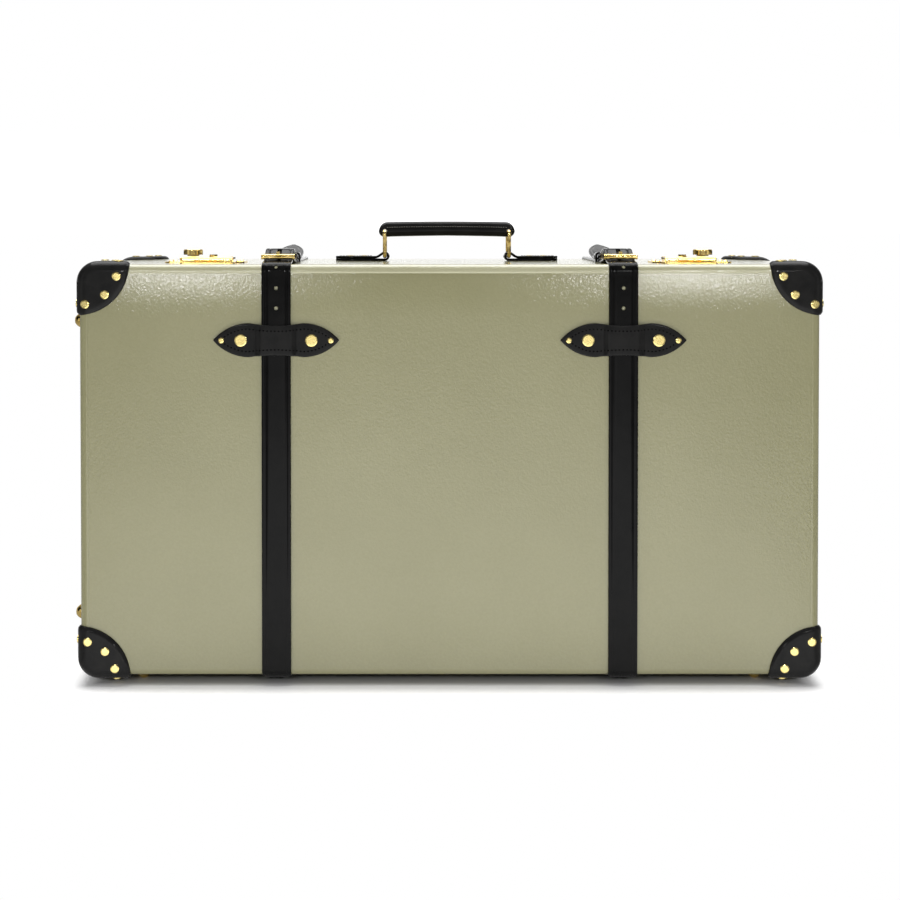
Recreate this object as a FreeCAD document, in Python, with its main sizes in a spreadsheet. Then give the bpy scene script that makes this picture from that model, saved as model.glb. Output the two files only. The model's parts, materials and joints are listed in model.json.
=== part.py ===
import FreeCAD, Part
import math
import os
import re

import Sketcher

# Suitcase of vulcanised fibre that stands on its hinge side, in millimetres.
# X runs along the case, Y from the lid at the front to the back, Z up from the floor.

SIZES = {
    # The case
    "case_width": 840,
    "case_height": 468,
    "case_depth": 256,
    "lid_depth": 66,
    "mouth_gap": 0.6,
    "corner_radius": 20,
    "edge_radius": 8,
    "wall": 3,
    "seat_gap": 0.1,
    "rim_wall": 2,
    "rim_reach": 10,
    "rim_depth": 20,
    "rim_gap": 1,
    "lining": 1.2,
    "lining_setback": 14,
    # Leather corner caps and their rivets
    "cap_thickness": 4,
    "cap_radius": 63.4,
    "cap_centre": 5,
    "cap_rivet_reach": 43.2,
    "cap_rivet_spread": 2,
    "cap_rivet_angle": 15.1,
    "cap_rivet_step_angle": 31.8,
    "cap_rivet_lean_angle": 1.5,
    "side_rivet_angle": 12,
    "side_rivet_step_angle": 25,
    "rivet_radius": 4.8,
    "rivet_height": 0.9,
    "rivet_bevel": 0.5,
    "rivet_bevel_width": 1.2,
    "rivet_sink": 0.7,
    "shank_radius": 2,
    "shank_length": 2.4,
    # Dome studs
    "foot_height": 11.5,
    "stud_radius": 9,
    "stud_rim": 2,
    "stud_flat": 4,
    "stud_curve": 11,
    "foot_inset": 66,
    "end_stud_inset": 65,
    "stud_inset": 33,
    # Hinges under the bottom
    "hinge_share": 0.3333,
    "hinge_width": 60,
    "hinge_middle": 20,
    "hinge_leaf": 26,
    "hinge_plate": 1.2,
    "hinge_drop": 4.2,
    "knuckle_radius": 3.2,
    "hinge_pin_radius": 1.6,
    "pin_fit": 0.05,
    "knuckle_gap": 0.3,
    # Straps
    "strap_share": 0.468,
    "strap_width": 33,
    "strap_thickness": 3,
    "strap_hole_radius": 2.15,
    "strap_hole_first": 26.5,
    "strap_hole_pitch": 22.8,
    "strap_cut": 3,
    "strap_gap": 0.4,
    # Leaf-shaped keepers
    "keeper_length": 143,
    "keeper_height": 38.6,
    "keeper_waist": 34,
    "keeper_bump": 30.5,
    "keeper_thickness": 3,
    "keeper_drop": 85.5,
    "keeper_ramp": 4,
    "keeper_ease": 0.5,
    "keeper_rivet_radius": 6.9,
    "keeper_rivet_reach": 40,
    "small_rivet_radius": 3.15,
    "small_rivet_reach": 62,
    # Buckles on the top
    "buckle_setback": 22,
    "buckle_length": 30,
    "buckle_lift": 8.5,
    "buckle_side": 2.2,
    "buckle_ease": 0.4,
    "front_bar": 6,
    "heel_bar": 5,
    "bar_rounding": 2.2,
    "heel_fit": 0.4,
    "fold_length": 38,
    "fold_slope": 22,
    "prong_width": 3.6,
    "prong_depth": 2.6,
    "prong_eye": 1.8,
    "prong_ease": 0.9,
    "prong_rest": 0.3,
    "tail_clear": 0.3,
    "tail_flat_end": 150,
    "tail_end": 228,
    "tail_tip_lift": 13,
    "tail_bend": 6,
    "loop_width": 14,
    "loop_wall": 2.2,
    "loop_setback": 96,
    # Handle
    "handle_setback": 161,
    "ring_spacing": 154,
    "ring_wire": 2.3,
    "ring_height": 31,
    "ring_bend": 3.5,
    "chape_width": 22,
    "chape_length": 61,
    "chape_point": 14,
    "chape_thickness": 6,
    "chape_leather": 3,
    "ring_fit": 0.4,
    "ring_ease": 1.6,
    "chape_rivet_radius": 4,
    "chape_rivet_first": 26,
    "chape_rivet_pitch": 17,
    "grip_width": 22,
    "grip_nose": 7.4,
    "grip_top": 12.4,
    "grip_bottom": 5.4,
    "grip_shoulder": 15,
    "grip_rounding": 4,
    "core_length": 112,
    "core_width": 14,
    "core_thickness": 2,
    # Locks
    "lock_share": 0.687,
    "lock_width": 94,
    "lock_depth": 42,
    "lock_setback": 2,
    "lock_plate": 1.6,
    "lock_corner": 6,
    "case_length": 60,
    "case_breadth": 30,
    "case_rise": 5.6,
    "case_wall": 1.4,
    "case_margin": 8,
    "lock_rounding": 1.2,
    "knob_offset": 16.5,
    "knob_setback": 24,
    "knob_radius": 11.4,
    "knob_height": 8,
    "knob_lift": 1.6,
    "knob_neck": 7,
    "stem_radius": 3,
    "knob_travel": 7.5,
    "slide_gap": 0.4,
    "slide_plate": 1.6,
    "bolt_size": 2,
    "bolt_inset": 4.2,
    "key_offset": 7.5,
    "key_setback": 26,
    "key_radius": 4.6,
    "key_height": 2,
    "key_slot_width": 1.4,
    "key_slot_length": 6,
    "hasp_width": 58,
    "hasp_thickness": 2,
    "hasp_plate_width": 63,
    "hasp_plate_depth": 24,
    "hasp_plate_setback": 2,
    "hasp_axis_inset": 6,
    "hasp_knuckle": 2.6,
    "hasp_pin": 1.2,
    "hasp_middle": 30,
    "staple_width": 3,
    "staple_length": 8,
    "staple_wall": 1.2,
    "notch_ease": 1.5,
    "screw_inset": 7,
    "screw_radius": 3,
    "screw_height": 1.6,
    "screw_flat": 1.2,
    "screw_curve": 3.6,
    "screw_shank": 1.2,
    "screw_length": 1.4,
}

LOW = "foot_height"
TOP = "(foot_height + case_height)"
MID = "(foot_height + case_height / 2)"
FRONT = "(-case_depth / 2)"
BACK = "(case_depth / 2)"
MOUTH = "(lid_depth - case_depth / 2)"
LEFT = "(-case_width / 2)"
RIGHT = "(case_width / 2)"
STRAP = "(-case_width * strap_share / 2)"

doc = FreeCAD.newDocument("Suitcase")
sheet = doc.addObject("Spreadsheet::Sheet", "Sizes")
for row, (alias, number) in enumerate(SIZES.items(), start=1):
    sheet.set(f"A{row}", alias)
    sheet.set(f"B{row}", str(number))
    sheet.setAlias(f"B{row}", alias)
doc.recompute()

pieces = []


def linked(expression):
    """Points each size name in an expression at its cell in the sheet."""
    def to_cell(word):
        name = word.group()
        return f"Sizes.{name}" if name in SIZES else name
    return re.sub(r"[a-z_]+", to_cell, str(expression))


def value(expression):
    """Works an expression out from the sheet, in millimetres."""
    return float(sheet.evalExpression(linked(expression)))


def bind(feature, sizes):
    """Ties properties of a feature to expressions of the sheet."""
    for name, expression in sizes.items():
        feature.setExpression(name, linked(expression))


def piece(thing):
    """Keeps an object as one of the pieces to write."""
    pieces.append(thing)
    return thing


def new_body(label):
    body = doc.addObject("PartDesign::Body", label)
    body.Label = label
    return body


def block(body, low, high, kind="Additive"):
    """Adds or cuts a box between two corners."""
    box = body.newObject(f"PartDesign::{kind}Box", "Block")
    for axis, side, start, end in zip("xyz", ("Length", "Width", "Height"), low, high):
        bind(box, {side: f"({end}) - ({start})", f"Placement.Base.{axis}": start})
    doc.recompute()
    return box


TURNS = {
    "x": FreeCAD.Rotation(FreeCAD.Vector(0, 1, 0), 90),
    "y": FreeCAD.Rotation(FreeCAD.Vector(1, 0, 0), -90),
    "z": FreeCAD.Rotation(),
}


def rod(body, axis, start, radius, length, kind="Additive"):
    """Adds or cuts a cylinder that runs along an axis from its start point."""
    cylinder = body.newObject(f"PartDesign::{kind}Cylinder", "Rod")
    cylinder.Placement = FreeCAD.Placement(FreeCAD.Vector(), TURNS[axis])
    bind(cylinder, {"Radius": radius, "Height": length})
    for letter, place in zip("xyz", start):
        bind(cylinder, {f"Placement.Base.{letter}": place})
    doc.recompute()
    return cylinder


def round_edges(body, radius, chosen):
    """Rounds the edges of a body that a test picks out."""
    base = body.Tip
    edges = enumerate(base.Shape.Edges, start=1)
    names = [f"Edge{number}" for number, edge in edges if chosen(edge)]
    fillet = body.newObject("PartDesign::Fillet", "Rounding")
    fillet.Base = (base, names)
    bind(fillet, {"Radius": radius})
    doc.recompute()
    return fillet


def along(axis):
    """A test for straight edges that run along an axis."""
    direction = FreeCAD.Vector(*(letter == axis for letter in "xyz"))
    def chosen(edge):
        straight = isinstance(edge.Curve, Part.Line)
        return straight and abs(abs(edge.tangentAt(edge.FirstParameter).dot(direction)) - 1) < 1e-6
    return chosen


def lying_at(axis, place):
    """A test for edges that lie in one plane square to an axis."""
    wanted = value(place)
    def chosen(edge):
        return all(abs(getattr(vertex.Point, axis) - wanted) < 1e-4 for vertex in edge.Vertexes)
    return chosen


def both(*tests):
    return lambda edge: all(test(edge) for test in tests)


def either(*tests):
    return lambda edge: any(test(edge) for test in tests)


def hold_point(sketch, part, end, x, y):
    """Holds a point of a sketch at a place given by two expressions."""
    for kind, place in (("DistanceX", x), ("DistanceY", y)):
        held = sketch.addConstraint(Sketcher.Constraint(kind, -1, 1, part, end, value(place)))
        sketch.setExpression(f"Constraints[{held}]", linked(place))


def draw(sketch, corners):
    """Draws a closed outline whose corners and arcs are held by the sheet.

    A corner is (x, y) before a straight run, or (x, y, radius, turn) before an arc
    that turns left (1) or right (-1).
    """
    points = [FreeCAD.Vector(value(corner[0]), value(corner[1]), 0) for corner in corners]
    ends = []
    for number, corner in enumerate(corners):
        start = points[number]
        end = points[(number + 1) % len(points)]
        if len(corner) == 2:
            part = sketch.addGeometry(Part.LineSegment(start, end), False)
            ends.append((part, 1, 2))
            continue
        radius, turn = value(corner[2]), corner[3]
        half = (end - start) / 2
        reach = math.sqrt(radius ** 2 - half.Length ** 2)
        side = FreeCAD.Vector(-half.y, half.x, 0).normalize()
        centre = start + half + side * reach * turn
        first, last = (start, end) if turn > 0 else (end, start)
        angles = [math.atan2(point.y - centre.y, point.x - centre.x) for point in (first, last)]
        circle = Part.Circle(centre, FreeCAD.Vector(0, 0, 1), radius)
        part = sketch.addGeometry(Part.ArcOfCircle(circle, angles[0], angles[1]), False)
        held = sketch.addConstraint(Sketcher.Constraint("Radius", part, radius))
        sketch.setExpression(f"Constraints[{held}]", linked(corner[2]))
        ends.append((part, 1, 2) if turn > 0 else (part, 2, 1))
    for number, (part, first, last) in enumerate(ends):
        after = ends[(number + 1) % len(ends)]
        sketch.addConstraint(Sketcher.Constraint("Coincident", part, last, after[0], after[1]))
        hold_point(sketch, part, first, corners[number][0], corners[number][1])


# How far along its own normal a sketch lies, and which way a pad goes from it.
PLANES = {"XY_Plane": (1, False), "XZ_Plane": (-1, True), "YZ_Plane": (1, False)}


def new_sketch(body, plane, place="0"):
    """Puts a sketch on one of a body's planes, moved along the axis square to it."""
    sketch = body.newObject("Sketcher::SketchObject", "Outline")
    origin = [face for face in body.Origin.OriginFeatures if face.Role == plane][0]
    sketch.AttachmentSupport = [(origin, "")]
    sketch.MapMode = "FlatFace"
    bind(sketch, {"AttachmentOffset.Base.z": f"{PLANES[plane][0]} * ({place})"})
    return sketch


def pad(body, plane, corners, start, end):
    """Pads an outline from one place to another along the axis square to its plane."""
    sketch = new_sketch(body, plane, start)
    draw(sketch, corners)
    solid = body.newObject("PartDesign::Pad", "Pad")
    solid.Profile = sketch
    solid.Reversed = PLANES[plane][1]
    bind(solid, {"Length": f"({end}) - ({start})"})
    doc.recompute()
    return solid


def turned(label, corners):
    """A piece turned about its own Z axis from half its section."""
    body = new_body(label)
    sketch = new_sketch(body, "XZ_Plane")
    draw(sketch, corners)
    solid = body.newObject("PartDesign::Revolution", "Turned")
    solid.Profile = sketch
    solid.ReferenceAxis = (sketch, ["V_Axis"])
    solid.Angle = 360
    doc.recompute()
    return body


def mirrored(label, source, normal, height="0"):
    """The same piece on the other side of the case."""
    mirror = doc.addObject("Part::Mirroring", label)
    mirror.Label = label
    mirror.Source = source
    mirror.Normal = FreeCAD.Vector(*normal)
    bind(mirror, {"Base.z": height})
    doc.recompute()
    return mirror


def joined(label, kind, base, tool):
    """Cuts one solid by another, or keeps what two solids share."""
    result = doc.addObject(f"Part::{kind}", label)
    result.Label = label
    result.Base = base
    result.Tool = tool
    doc.recompute()
    return result


def group(label, solids):
    """Like pieces that share one name, each a solid of its own."""
    holder = doc.addObject("Part::Feature", label)
    holder.Label = label
    holder.Shape = Part.makeCompound(solids)
    return piece(holder)


def pair(source, name):
    """Keeps a left piece and makes its mirror image on the right."""
    piece(source)
    return piece(mirrored(f"{name}_right", source, (1, 0, 0)))


# The two fibre trays, their linings and the rim between them

def rounded_block(label, inset, front, back, rounded_face=None):
    """A block as long and high as the case, set in from its faces."""
    body = new_body(label)
    low = (f"{LEFT} + {inset}", front, f"{LOW} + {inset}")
    high = (f"{RIGHT} - {inset}", back, f"{TOP} - {inset}")
    block(body, low, high)
    round_edges(body, f"corner_radius - {inset}", along("y"))
    if rounded_face:
        round_edges(body, f"edge_radius - {inset}", lying_at("y", rounded_face))
    return body


def tray(label, inset, thickness, front, back, face):
    """A tray hollowed from its mouth, with the same thickness all round."""
    outside = rounded_block(f"{label}_outside", inset, front, back, face)
    deep = f"({inset} + {thickness})"
    if face == front:
        floor = f"({front} + {thickness})"
        inside = rounded_block(f"{label}_inside", deep, floor, f"{back} + {thickness}", floor)
    else:
        floor = f"({back} - {thickness})"
        inside = rounded_block(f"{label}_inside", deep, f"{front} - {thickness}", floor, floor)
    return piece(joined(label, "Cut", outside, inside))


def make_case():
    lid_back = f"({MOUTH} - mouth_gap / 2)"
    base_front = f"({MOUTH} + mouth_gap / 2)"
    inset = "(wall + seat_gap)"
    tray("lid_shell", "0", "wall", FRONT, lid_back, FRONT)
    tray("base_shell", "0", "wall", base_front, BACK, BACK)
    lid_face = f"({FRONT} + {inset})"
    tray("lid_lining", inset, "lining", lid_face, f"({MOUTH} - lining_setback)", lid_face)
    base_face = f"({BACK} - {inset})"
    tray("base_lining", inset, "lining", f"({MOUTH} + rim_depth + seat_gap)", base_face, base_face)

    # The rim fits the base closely and stands into the lid with room to spare.
    rim_front, rim_back = f"({MOUTH} - rim_reach)", f"({MOUTH} + rim_depth)"
    deep = "(wall + rim_gap + rim_wall)"
    standing = rounded_block("rim_standing", "(wall + rim_gap)", rim_front, rim_back)
    seated = rounded_block("rim_seated", inset, base_front, rim_back)
    hollow = rounded_block("rim_hollow", deep, f"{rim_front} - rim_wall", f"{rim_back} + rim_wall")
    solid = joined("rim_solid", "Fuse", standing, seated)
    piece(joined("base_frame", "Cut", solid, hollow))


# Leather corner caps: a skin over the corner, trimmed by a ball

CORNERS = [(side, depth, height) for depth in (-1, 1) for height in (1, -1) for side in (-1, 1)]


def corner_name(side, depth, height):
    face = "front" if depth < 0 else "rear"
    level = "top" if height > 0 else "bottom"
    return f"cap_{face}_{level}_{'left' if side < 0 else 'right'}"


def make_caps():
    outside = "(-seat_gap - cap_thickness)"
    outer = rounded_block("cap_outside", outside, f"{FRONT} + {outside}", MOUTH, f"{FRONT} + {outside}")
    inner = rounded_block("cap_inside", "(-seat_gap)", f"{FRONT} - seat_gap", MOUTH, f"{FRONT} - seat_gap")
    ball = doc.addObject("Part::Sphere", "cap_ball")
    bind(ball, {
        "Radius": "cap_radius",
        "Placement.Base.x": f"{LEFT} - cap_centre",
        "Placement.Base.y": f"{FRONT} - cap_centre",
        "Placement.Base.z": f"{TOP} + cap_centre",
    })
    skin = joined("cap_skin", "Cut", outer, inner)
    first = joined(corner_name(-1, -1, 1), "Common", skin, ball)
    caps = {(-1, -1, 1): piece(first)}
    for side, depth, height in CORNERS[1:]:
        if side > 0:
            source, normal = caps[(-1, depth, height)], (1, 0, 0)
        elif height < 0:
            source, normal = caps[(-1, depth, 1)], (0, 0, 1)
        else:
            source, normal = caps[(-1, -1, 1)], (0, 1, 0)
        caps[(side, depth, height)] = piece(
            mirrored(corner_name(side, depth, height), source, normal, MID if normal[2] else "0"))


def rivet(head_radius, place, outward):
    """A rivet with a bevelled head that is let a little way into the leather."""
    sink, bevel = value("rivet_sink"), value("rivet_bevel")
    rim = value("rivet_height") - bevel
    inward = outward * -1
    head = Part.makeCylinder(head_radius, sink + rim, place + inward * sink, outward)
    flat_radius = head_radius - value("rivet_bevel_width")
    crown = Part.makeCone(head_radius, flat_radius, bevel, place + outward * rim, outward)
    shank = Part.makeCylinder(value("shank_radius"), value("shank_length"), place + inward * sink, inward)
    return head.fuse([crown, shank]).removeSplitter()


def make_cap_rivets():
    """Three rivets on each face of a cap, each square to the leather that it holds."""
    half = FreeCAD.Vector(value(RIGHT), value(BACK), value("case_height / 2"))
    centre = FreeCAD.Vector(0, 0, value(MID))
    round_off = value("edge_radius")
    lift = value("seat_gap + cap_thickness")
    front_row = (value("cap_rivet_angle"), value("cap_rivet_step_angle"))
    side_row = (value("side_rivet_angle"), value("side_rivet_step_angle"))
    rows = {-1: [], 1: []}
    for side, depth, height in CORNERS:
        corner = centre + FreeCAD.Vector(side * half.x, depth * half.y, height * half.z)
        across = FreeCAD.Vector(-side, 0, 0)
        inward = FreeCAD.Vector(0, -depth, 0)
        level = FreeCAD.Vector(0, 0, -height)
        lean = value("cap_rivet_lean_angle") * height
        reach = value("cap_rivet_reach") + value("cap_rivet_spread") * height
        faces = (
            (across, level, inward, front_row[0] + lean, front_row[1]),
            (across, inward, level, *side_row),
            (level, inward, across, *side_row),
        )
        for flat, steep, buried, first, step in faces:
            for number in range(3):
                angle = math.radians(first + number * step)
                near, far = reach * math.cos(angle), reach * math.sin(angle)
                tilt = math.asin(max(round_off - near, 0) / (round_off + lift))
                outward = buried * -math.cos(tilt) - flat * math.sin(tilt)
                seat = corner + flat * max(near, round_off) + steep * far + buried * round_off
                place = seat + outward * (round_off + lift)
                rows[depth].append(rivet(value("rivet_radius"), place, outward))
    group("lid_cap_rivets", rows[-1])
    group("base_cap_rivets", rows[1])


# Brass dome studs on the floor side and on the left end

def make_studs():
    stud = turned("stud", [
        ("0", "0"),
        ("stud_radius", "0"),
        ("stud_radius", "stud_rim", "stud_curve", 1),
        ("stud_flat", "foot_height"),
        ("0", "foot_height"),
    ])
    down = FreeCAD.Rotation(FreeCAD.Vector(1, 0, 0), 180)
    leftward = FreeCAD.Rotation(FreeCAD.Vector(0, 1, 0), -90)
    for label, y in (("lid_studs", f"{FRONT} + stud_inset"), ("base_studs", f"{BACK} - stud_inset")):
        solids = []
        for side in (-1, 1):
            foot = FreeCAD.Vector(value(f"{side} * (case_width / 2 - foot_inset)"), value(y), value(LOW))
            rise = value(f"{MID} + {side} * (case_height / 2 - end_stud_inset)")
            end = FreeCAD.Vector(value(LEFT), value(y), rise)
            for place, turn in ((foot, down), (end, leftward)):
                copy = stud.Shape.copy()
                copy.Placement = FreeCAD.Placement(place, turn)
                solids.append(copy)
        group(label, solids)


# Three brass hinges under the bottom

def make_hinges():
    axis = f"({LOW} - hinge_drop)"
    across = FreeCAD.Vector(1, 0, 0)
    middles = [FreeCAD.Vector(value(f"{step} * case_width * hinge_share"), 0, 0) for step in (-1, 0, 1)]
    edge = "(hinge_middle / 2)"
    outer_knuckles = (
        ("-hinge_width / 2", f"-{edge} - knuckle_gap"),
        (f"{edge} + knuckle_gap", "hinge_width / 2"),
    )
    spans = {
        "hinge_base_leaves": (1, outer_knuckles),
        "hinge_lid_leaves": (-1, ((f"-{edge}", edge),)),
    }
    for label, (side, knuckles) in spans.items():
        leaf = new_body(f"{label}_one")
        near, far = f"{MOUTH} + {side} * hinge_drop", f"{MOUTH} + {side} * hinge_leaf"
        low_y, high_y = (near, far) if side > 0 else (far, near)
        block(leaf, ("-hinge_width / 2", low_y, f"{LOW} - hinge_plate"), ("hinge_width / 2", high_y, LOW))
        for start, end in knuckles:
            web = (f"{MOUTH}", f"{near} + knuckle_gap") if side > 0 else (f"{near} - knuckle_gap", f"{MOUTH}")
            block(leaf, (start, web[0], f"{axis}"), (end, web[1], LOW))
            rod(leaf, "x", (start, MOUTH, axis), "knuckle_radius", f"({end}) - ({start})")
        bore_start = ("-hinge_width / 2", MOUTH, axis)
        rod(leaf, "x", bore_start, "hinge_pin_radius + pin_fit", "hinge_width", "Subtractive")
        group(label, [leaf.Shape.translated(middle) for middle in middles])
    start = FreeCAD.Vector(value("-hinge_width / 2"), value(MOUTH), value(axis))
    pin = Part.makeCylinder(value("hinge_pin_radius"), value("hinge_width"), start, across)
    group("hinge_pins", [pin.translated(middle) for middle in middles])


# Straps round the front and the back, with the keepers that hold them

def strap_run(label, face, out, mouth_end, top_end):
    """A strap that lies along the bottom, up one face and over its top edge."""
    body = new_body(label)
    near = f"{face} + {out} * seat_gap"
    far = f"{face} + {out} * (seat_gap + strap_thickness)"
    low, high = f"{LOW} - seat_gap", f"{TOP} + seat_gap"
    low_out, high_out = f"{low} - strap_thickness", f"{high} + strap_thickness"
    corners = [
        (mouth_end, low), (near, low), (near, high), (top_end, high),
        (top_end, high_out), (far, high_out), (far, low_out), (mouth_end, low_out),
    ]
    pad(body, "YZ_Plane", corners, f"{STRAP} - strap_width / 2", f"{STRAP} + strap_width / 2")
    round_edges(body, "edge_radius", both(along("x"), lying_at("y", near)))
    round_edges(body, "edge_radius + strap_thickness", both(along("x"), lying_at("y", far)))
    return body


def keeper(label, z):
    """A leaf of leather that bridges the strap."""
    tip, half = "keeper_length / 2", "(keeper_height / 2)"
    dip = "((keeper_height - keeper_waist) / 2)"
    end_curve = f"((({tip} - keeper_bump) ^ 2 + {half} ^ 2) / keeper_height)"
    waist_curve = f"((keeper_bump ^ 2 + {dip} ^ 2) / (2 * {dip}))"
    leaf = new_body(f"{label}_leaf")
    pad(leaf, "XZ_Plane", [
        (f"{STRAP} - {tip}", z, end_curve, -1),
        (f"{STRAP} - keeper_bump", f"{z} + {half}", waist_curve, 1),
        (f"{STRAP} + keeper_bump", f"{z} + {half}", end_curve, -1),
        (f"{STRAP} + {tip}", z, end_curve, -1),
        (f"{STRAP} + keeper_bump", f"{z} - {half}", waist_curve, 1),
        (f"{STRAP} - keeper_bump", f"{z} - {half}", end_curve, -1),
    ], f"{FRONT} - 4 * keeper_thickness", FRONT)
    flat = f"({FRONT} - seat_gap)"
    raised = f"({flat} - strap_thickness - seat_gap)"
    inner, outer = "(strap_width / 2 + keeper_ease)", "(strap_width / 2 + keeper_ease + keeper_thickness / 2)"
    bridge = new_body(f"{label}_bridge")
    pad(bridge, "XY_Plane", [
        (f"{STRAP} - {tip}", flat),
        (f"{STRAP} - {inner} - keeper_ramp", flat),
        (f"{STRAP} - {inner}", raised),
        (f"{STRAP} + {inner}", raised),
        (f"{STRAP} + {inner} + keeper_ramp", flat),
        (f"{STRAP} + {tip}", flat),
        (f"{STRAP} + {tip}", f"{flat} - keeper_thickness"),
        (f"{STRAP} + {outer} + keeper_ramp", f"{flat} - keeper_thickness"),
        (f"{STRAP} + {outer}", f"{raised} - keeper_thickness"),
        (f"{STRAP} - {outer}", f"{raised} - keeper_thickness"),
        (f"{STRAP} - {outer} - keeper_ramp", f"{flat} - keeper_thickness"),
        (f"{STRAP} - {tip}", f"{flat} - keeper_thickness"),
    ], f"{z} - keeper_height", f"{z} + keeper_height")
    return joined(label, "Common", leaf, bridge)


def make_straps():
    front_end = f"{FRONT} + edge_radius + strap_cut"
    front = strap_run("strap_front_left", FRONT, -1, f"{MOUTH} - mouth_gap / 2", front_end)
    for number in range(2):
        depth = f"{TOP} - strap_hole_first - {number} * strap_hole_pitch"
        start = (STRAP, f"{FRONT} - 2 * strap_thickness", depth)
        rod(front, "y", start, "strap_hole_radius", "2 * strap_thickness", "Subtractive")
    pair(front, "strap_front")
    rear_end = f"{BACK} - edge_radius - strap_cut"
    rear = strap_run("strap_rear_left", BACK, 1, f"{MOUTH} + mouth_gap / 2", rear_end)
    pair(rear, "strap_rear")

    z = f"({TOP} - keeper_drop)"
    front_keeper = keeper("front_keeper_left", z)
    pair(front_keeper, "front_keeper")
    rear_keeper = mirrored("rear_keeper_left", front_keeper, (0, 1, 0))
    pair(rear_keeper, "rear_keeper")
    seat = value("case_depth / 2 + seat_gap + keeper_thickness")
    reaches = (("keeper_rivet_reach", "keeper_rivet_radius"), ("small_rivet_reach", "small_rivet_radius"))
    for label, side in (("front_keeper_rivets", -1), ("rear_keeper_rivets", 1)):
        rivets = []
        for strap in (-1, 1):
            for reach, radius in reaches:
                for end in (-1, 1):
                    x = value(f"{strap} * {STRAP} + {end} * {reach}")
                    spot = FreeCAD.Vector(x, side * seat, value(z))
                    rivets.append(rivet(value(radius), spot, FreeCAD.Vector(0, side, 0)))
        group(label, rivets)


# The strap ends on top: chape, buckle, prong, loop and tail

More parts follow.
